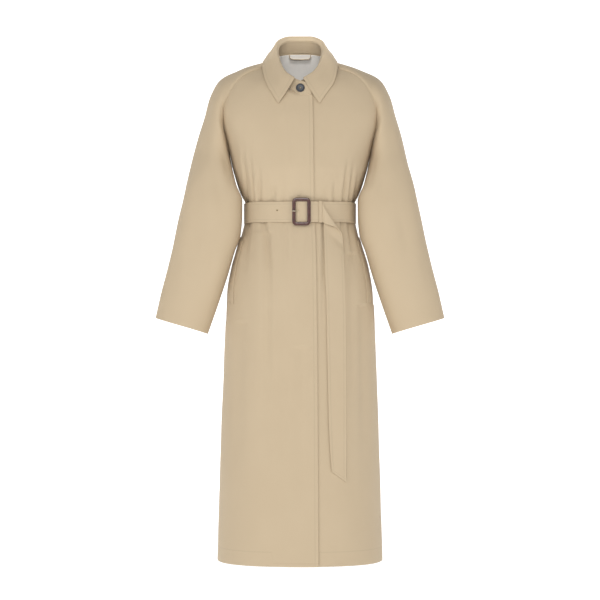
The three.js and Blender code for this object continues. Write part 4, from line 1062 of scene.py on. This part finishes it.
# %% The strap's route
STRAP_WIDTH, STRAP_WALL = 48.0, 1.6
BELT_HALF, BELT_FRONT, BELT_BACK = 134.0, 107.0, 106.5
BUCKLE_X, BAR_RADIUS, SEAM_GAP = 3.4, 1.5, 0.3
MIDDLE = STRAP_WALL / 2
BAR_Y = -(BELT_FRONT + STRAP_WALL + SEAM_GAP + BAR_RADIUS)
BAR_TURN = BAR_RADIUS + SEAM_GAP + MIDDLE
INNER_LAYER, OUTER_LAYER = 2.6, 4.8
TURNED_END = np.array([  # upper edge x y z, lower edge x y z
    [53.2, -107, -350.5, 62, -108, -401], [54.3, -106.8, -354, 74, -107.6, -404.5],
    [55, -106.6, -358, 86, -104.6, -408.5], [55.4, -106.2, -362, 95.5, -100.6, -418],
    [55.7, -105.6, -366, 99.5, -97.2, -424], [55.9, -104.9, -370, 100.7, -94.4, -428],
    [56.2, -104.3, -384, 101.4, -92.6, -436], [56.8, -105.2, -408, 102.4, -91.6, -448],
])
HANGING_END = np.array([  # left edge x z, right edge x z, distance off the skirt
    [57.6, -437, 103.6, -470, 3.4], [58.4, -470, 104.5, -492, 3.2], [60, -525, 106, -534, 3],
    [62.5, -585, 107.5, -588, 2.8], [63.5, -640, 108.4, -641, 2.8], [64.5, -700, 109, -702, 2.8],
    [66, -775, 109.4, -777, 2.8], [67.8, -850, 109.6, -853, 2.8], [70.5, -925, 109.4, -932, 3],
    [73, -960, 109.1, -975, 3.2], [75.1, -985.6, 108.6, -1009.5, 3.2],
])


def waist(angle, out):
    """A place round the waist: the belt's own oval, moved out."""
    full = 1 + SQUARENESS * np.sin(angle) ** 2
    depth = np.where(np.cos(angle) > 0, BELT_FRONT, BELT_BACK)
    return (BELT_HALF + out) * np.sin(angle), -(depth + out) * np.cos(angle) * full


def strap_route():
    """The places of the strap in plan, from under the buckle round the waist and back over it to the
    keeper."""
    turn = np.linspace(0, math.pi, 7)
    plan = [(BUCKLE_X + 13, BAR_Y - BAR_TURN)]
    plan += list(zip(BUCKLE_X - BAR_TURN * np.sin(turn), BAR_Y - BAR_TURN * np.cos(turn)))
    angle = np.linspace(math.asin(12 / BELT_HALF), 2 * math.pi - math.asin(44 / BELT_HALF), 45)
    off = curve([14, 30, 40, 55, 75], [MIDDLE, 1.9, INNER_LAYER, INNER_LAYER, MIDDLE])
    layered = (np.cos(angle) > 0) & (np.sin(angle) > 0)
    plan += list(zip(*waist(angle, np.where(layered, off(BELT_HALF * np.sin(angle)), MIDDLE))))
    over = BAR_Y - BAR_TURN - STRAP_WALL - SEAM_GAP
    plan += [(-34, -107), (-25, -108.8), (-16, -111.2), (-8, -113), (0, over), (8, over)]
    plan += [(16, -113.4), (24, -112.6), (33, -110.9)]
    return plan + [tuple(map(float, waist(np.array(math.asin(x / BELT_HALF)), OUTER_LAYER))) for x in (40, 51)]


def belt_grid(rows=760, columns=19):
    t = samples(columns, 0.012)
    plan = np.array(strap_route())
    sag = 0.8 * np.sin(np.arange(len(plan)) * 0.55) * smoothstep(np.abs(plan[:, 0]), 60, 110)
    level = BELT_Z + sag[:, None] + STRAP_WIDTH * (0.5 - t)[None, :]
    flat = np.broadcast_to(plan[:, None], (len(plan), len(t), 2))
    stations = [np.concatenate([flat, level[..., None]], axis=-1)]
    stations.append(mix(TURNED_END[:, None, :3], TURNED_END[:, None, 3:], t[None, :, None]))
    x = mix(HANGING_END[:, :1], HANGING_END[:, 2:3], t[None, :])
    z = mix(HANGING_END[:, 1:2], HANGING_END[:, 3:4], t[None, :])
    up = front_half.up_at(z, 0.5)
    skirt = front_half.at(front_half.turn_at(x, up), up)[..., 1]
    cup = 1.3 * (1 - (2 * t[None, :] - 1) ** 2) * smoothstep(-z, 440, 560)
    stations.append(np.stack([x, skirt - HANGING_END[:, 4:5] + cup, z], axis=-1))
    stations = np.concatenate(stations)
    at = lengths(stations[:, len(t) // 2])
    run = np.linspace(0, at[-1], rows)
    run = np.unique(np.concatenate([run, [1.0, at[-1] - 1.0]]))
    spread = np.broadcast_to(stations[:, None], (len(stations), len(run), len(t), 3))
    return through(at, spread, np.broadcast_to(run[:, None], (len(run), len(t))))


strap = belt_grid()
strap_across, strap_along = lay_out(strap)
strap_edge = np.minimum(strap_across, strap_across[:, -1:] - strap_across) - 5.6
end_stitch = strap_along[-1:] - strap_along - 5.6
strap_normals = grid_normals(strap)
outward = strap_normals[len(strap) // 2, 9]
shell("belt", strap, outward, STRAP_WALL, beige_twill, edge=strap_edge, hem=end_stitch, middle=True)

# %% [markdown]
# ## Keeper, eyelets, buckle and pin
#
# The keeper is a narrow loop of the same cloth round both layers of strap. The buckle is a rounded
# section carried round a rectangle with round corners, with a bar behind the strap. The pin goes round
# that bar, through the strap and over the frame's left side. Two worked eyelets lie to the left of it.

# %% Make the keeper and the hard trims
def rounded_loop(half_width, half_height, corner, per_corner=14, per_side=10):
    """A closed path round a rectangle with round corners, in two directions."""
    quarter = np.linspace(0, math.pi / 2, per_corner)
    corners = []
    for k, (sx, sz) in enumerate(((1, 1), (-1, 1), (-1, -1), (1, -1))):
        a = quarter + k * math.pi / 2
        x = sx * (half_width - corner) + corner * np.cos(a)
        z = sz * (half_height - corner) + corner * np.sin(a)
        corners.append(np.stack([x, z], axis=-1))
    out = []
    for k in range(4):
        first, following = corners[k], corners[(k + 1) % 4]
        out += [first, mix(first[-1:], following[:1], np.linspace(0, 1, per_side + 2)[1:-1, None])]
    return np.concatenate(out)


KEEPER_ANGLE = math.asin(46.6 / (BELT_HALF + MIDDLE))
keeper_in, keeper_out = INNER_LAYER - MIDDLE - 0.6 - 0.6, OUTER_LAYER + MIDDLE + 0.3 + 0.6
keeper_loop = rounded_loop((keeper_out - keeper_in) / 2, STRAP_WIDTH / 2 + 1.2, 1.4, 6, 20)
keeper_off = keeper_loop[:, 0] + (keeper_in + keeper_out) / 2
keeper_x, keeper_y = waist(np.full(len(keeper_loop), KEEPER_ANGLE), keeper_off)
keeper_path = np.stack([keeper_x, keeper_y, keeper_loop[:, 1] + BELT_Z], axis=-1)
across_keeper = np.array([math.cos(0.28), math.sin(0.28), 0])
band = ellipse(0.6, 3.8, 24, 5)
tube("keeper_loop", keeper_path, band, beige_twill, True, ["belt_keeper"], across_keeper)

BUCKLE_WIDTH, BUCKLE_HEIGHT, BUCKLE_BAR, BUCKLE_DEPTH, BUCKLE_BACK = 44.0, 66.0, 8.4, 4.2, -114.9
frame_loop = rounded_loop((BUCKLE_WIDTH - BUCKLE_BAR) / 2, (BUCKLE_HEIGHT - BUCKLE_BAR) / 2, 6.2, 16, 12)
frame_path = np.stack([
    frame_loop[:, 0] + BUCKLE_X,
    np.full(len(frame_loop), BUCKLE_BACK - BUCKLE_DEPTH / 2),
    frame_loop[:, 1] + BELT_Z,
], axis=-1)
frame_section, bar_section = ellipse(BUCKLE_BAR / 2, BUCKLE_DEPTH / 2, 40, 3), ellipse(BAR_RADIUS, BAR_RADIUS, 16)
tube("buckle_frame", frame_path, frame_section, brown_lacquer, True, ["buckle"], (0, -1, 0))
bar_z = np.linspace(-1, 1, 40)
bar_reach = BUCKLE_HEIGHT / 2 - BUCKLE_BAR / 2
bar_path = np.stack([
    np.full(40, BUCKLE_X),
    mix(BUCKLE_BACK - 1.0, BAR_Y, smoothstep(1 - np.abs(bar_z), 0, 0.12)),
    BELT_Z + bar_z * bar_reach,
], axis=-1)
tube("buckle_bar", bar_path, bar_section, brown_lacquer, False, ["buckle"], (0, -1, 0))

PIN_Z, PIN_RING = BELT_Z + 1.2, BAR_RADIUS + SEAM_GAP + 1.0
pin_stations = np.array([
    [BUCKLE_X - PIN_RING * 0.9, BAR_Y + PIN_RING * 0.5], [BUCKLE_X, BAR_Y + PIN_RING],
    [BUCKLE_X + PIN_RING, BAR_Y],
    [BUCKLE_X, BAR_Y - PIN_RING], [BUCKLE_X - 5, BAR_Y - PIN_RING - 1.8], [BUCKLE_X - 10, -117.6],
    [BUCKLE_X - 14, -120.5], [BUCKLE_X - 19, -120.6], [BUCKLE_X - 21.5, -120.4],
])
pin_plan = curve(lengths(pin_stations), pin_stations)(np.linspace(0, lengths(pin_stations)[-1], 90))
pin_path = np.concatenate([pin_plan, np.full((90, 1), PIN_Z)], axis=1)
tube("metal_pin", pin_path, ellipse(0.85, 0.85, 16), pale_metal, replaces=["buckle_pin"])

for number, eyelet_x in enumerate((-53.8, -30.0)):
    a = np.linspace(0, 2 * math.pi, 40, endpoint=False)
    turn = math.asin(eyelet_x / BELT_HALF)
    out = STRAP_WALL + 0.15
    ring_x, ring_y = waist(np.arcsin((eyelet_x + 2.0 * np.cos(a)) / BELT_HALF), out)
    lifted = -0.4 if eyelet_x > -40 else 0.0
    ring = np.stack([ring_x, ring_y + lifted, BELT_Z + 3.5 + 2.0 * np.sin(a)], axis=-1)
    rim = ellipse(0.5, 0.4, 10)
    tube(f"eyelet_{number + 1}", ring, rim, beige_thread, True, up=(0, -1, 0.01))
    # painted shade: a dark disc sunk in the ring takes the place of the eyelet's hole, which the strap lacks
    disc = np.stack([eyelet_x + 1.7 * np.cos(a) * 0.5, 0 * a, BELT_Z + 3.5 + 1.7 * np.sin(a) * 0.5], axis=-1)
    disc[:, 1] = float(waist(np.array(turn), out - 0.1)[1]) + lifted
    dark = ellipse(0.86, 0.16, 8)
    tube(f"eyelet_shade_{number + 1}", disc, dark, hole_shade, True, up=(0, -1, 0.01))
print("buckle:", BUCKLE_WIDTH, "by", BUCKLE_HEIGHT, "mm")

# %% [markdown]
# ## What the cloth pieces were cut from
#
# Each cloth piece states the width and length of the cloth that it was cut from, and its flat area. They
# come from the lengths along its own grid.

# %% [markdown]
# ## Light, floor and camera
#
# Two large soft lights stand in front, the stronger one on the left, so the cloth that faces the camera
# is the brightest. The pale floor and the white backdrop shine a little, as lit paper does. The camera
# looks level at the coat's middle from five metres, which shows it as the photograph does.

# %% Set up the studio
FLOOR_Z, CAMERA_Y, CAMERA_Z, VIEW_WIDTH = -1.46, -5.0, -0.581, 1.452


def stage_mesh(name, points, faces, material):
    """A plain sheet of the studio, which isn't part of the coat."""
    mesh = bpy.data.meshes.new(name)
    mesh.from_pydata(points, [], faces)
    mesh.materials.append(material)
    sheet = bpy.data.objects.new(name, mesh)
    bpy.context.scene.collection.objects.link(sheet)


def studio_paint(name, grey, glow):
    """White paint that also shines a little, as a lit backdrop does."""
    paint = Shader(name, Roughness=0.9, Specular_IOR_Level=0.0, Emission_Strength=glow)
    paint.surface.inputs["Base Color"].default_value = (grey, grey, grey, 1)
    paint.surface.inputs["Emission Color"].default_value = (1, 1, 1, 1)
    return paint.material


WIDE, NEAR, FAR_WALL = 6.0, -7.0, 3.4
WALL_TOP = 4
low_corners = [(-WIDE, FAR_WALL, FLOOR_Z), (WIDE, FAR_WALL, FLOOR_Z)]
floor_corners = [(-WIDE, NEAR, FLOOR_Z), (WIDE, NEAR, FLOOR_Z), *low_corners[::-1]]
wall_corners = [*low_corners, (WIDE, FAR_WALL, WALL_TOP), (-WIDE, FAR_WALL, WALL_TOP)]
stage_mesh("floor", floor_corners, [(0, 1, 2, 3)], studio_paint("floor_paint", 0.5, 0.8))
stage_mesh("backdrop", wall_corners, [(0, 1, 2, 3)], studio_paint("wall_paint", 0.5, 1.0))

world = bpy.data.worlds.new("studio")
bpy.context.scene.world = world
world.use_nodes = True
world.node_tree.nodes["Background"].inputs["Color"].default_value = (1, 1, 1, 1)
world.node_tree.nodes["Background"].inputs["Strength"].default_value = 0.4


def soft_light(name, place, target, size, watts, spread=180):
    """An area light that faces a target. A small spread, in degrees, keeps its beam narrow."""
    data = bpy.data.lights.new(name, "AREA")
    data.size, data.energy, data.spread = size, watts, math.radians(spread)
    light = bpy.data.objects.new(name, data)
    light.location = place
    direction = np.subtract(target, place)
    flat = math.hypot(direction[0], direction[1])
    turn = math.atan2(direction[1], direction[0]) - math.pi / 2
    light.rotation_euler = (math.atan2(flat, -direction[2]), 0, turn)
    bpy.context.scene.collection.objects.link(light)


soft_light("front", (-0.3, -5.4, 1.5), (0, 0, -0.5), 2.4, 92)
soft_light("left_side", (-3.6, -3.2, -0.2), (0, 0, -0.6), 2.4, 39)
soft_light("right_side", (3.6, -3.2, -0.2), (0, 0, -0.6), 2.4, 27)
soft_light("neck", (0, -0.45, 0.55), (0, 0.07, -0.02), 0.1, 0.045, 22)

camera_data = bpy.data.cameras.new("camera")
camera_data.sensor_width = 36
camera_data.lens = camera_data.sensor_width * abs(CAMERA_Y) / VIEW_WIDTH
camera = bpy.data.objects.new("camera", camera_data)
camera.location = (0, CAMERA_Y, CAMERA_Z)
camera.rotation_euler = (math.pi / 2, 0, 0)
bpy.context.scene.collection.objects.link(camera)
bpy.context.scene.camera = camera
bpy.context.scene.view_settings.view_transform = "Standard"
print("the camera stands", abs(CAMERA_Y), "metres away")
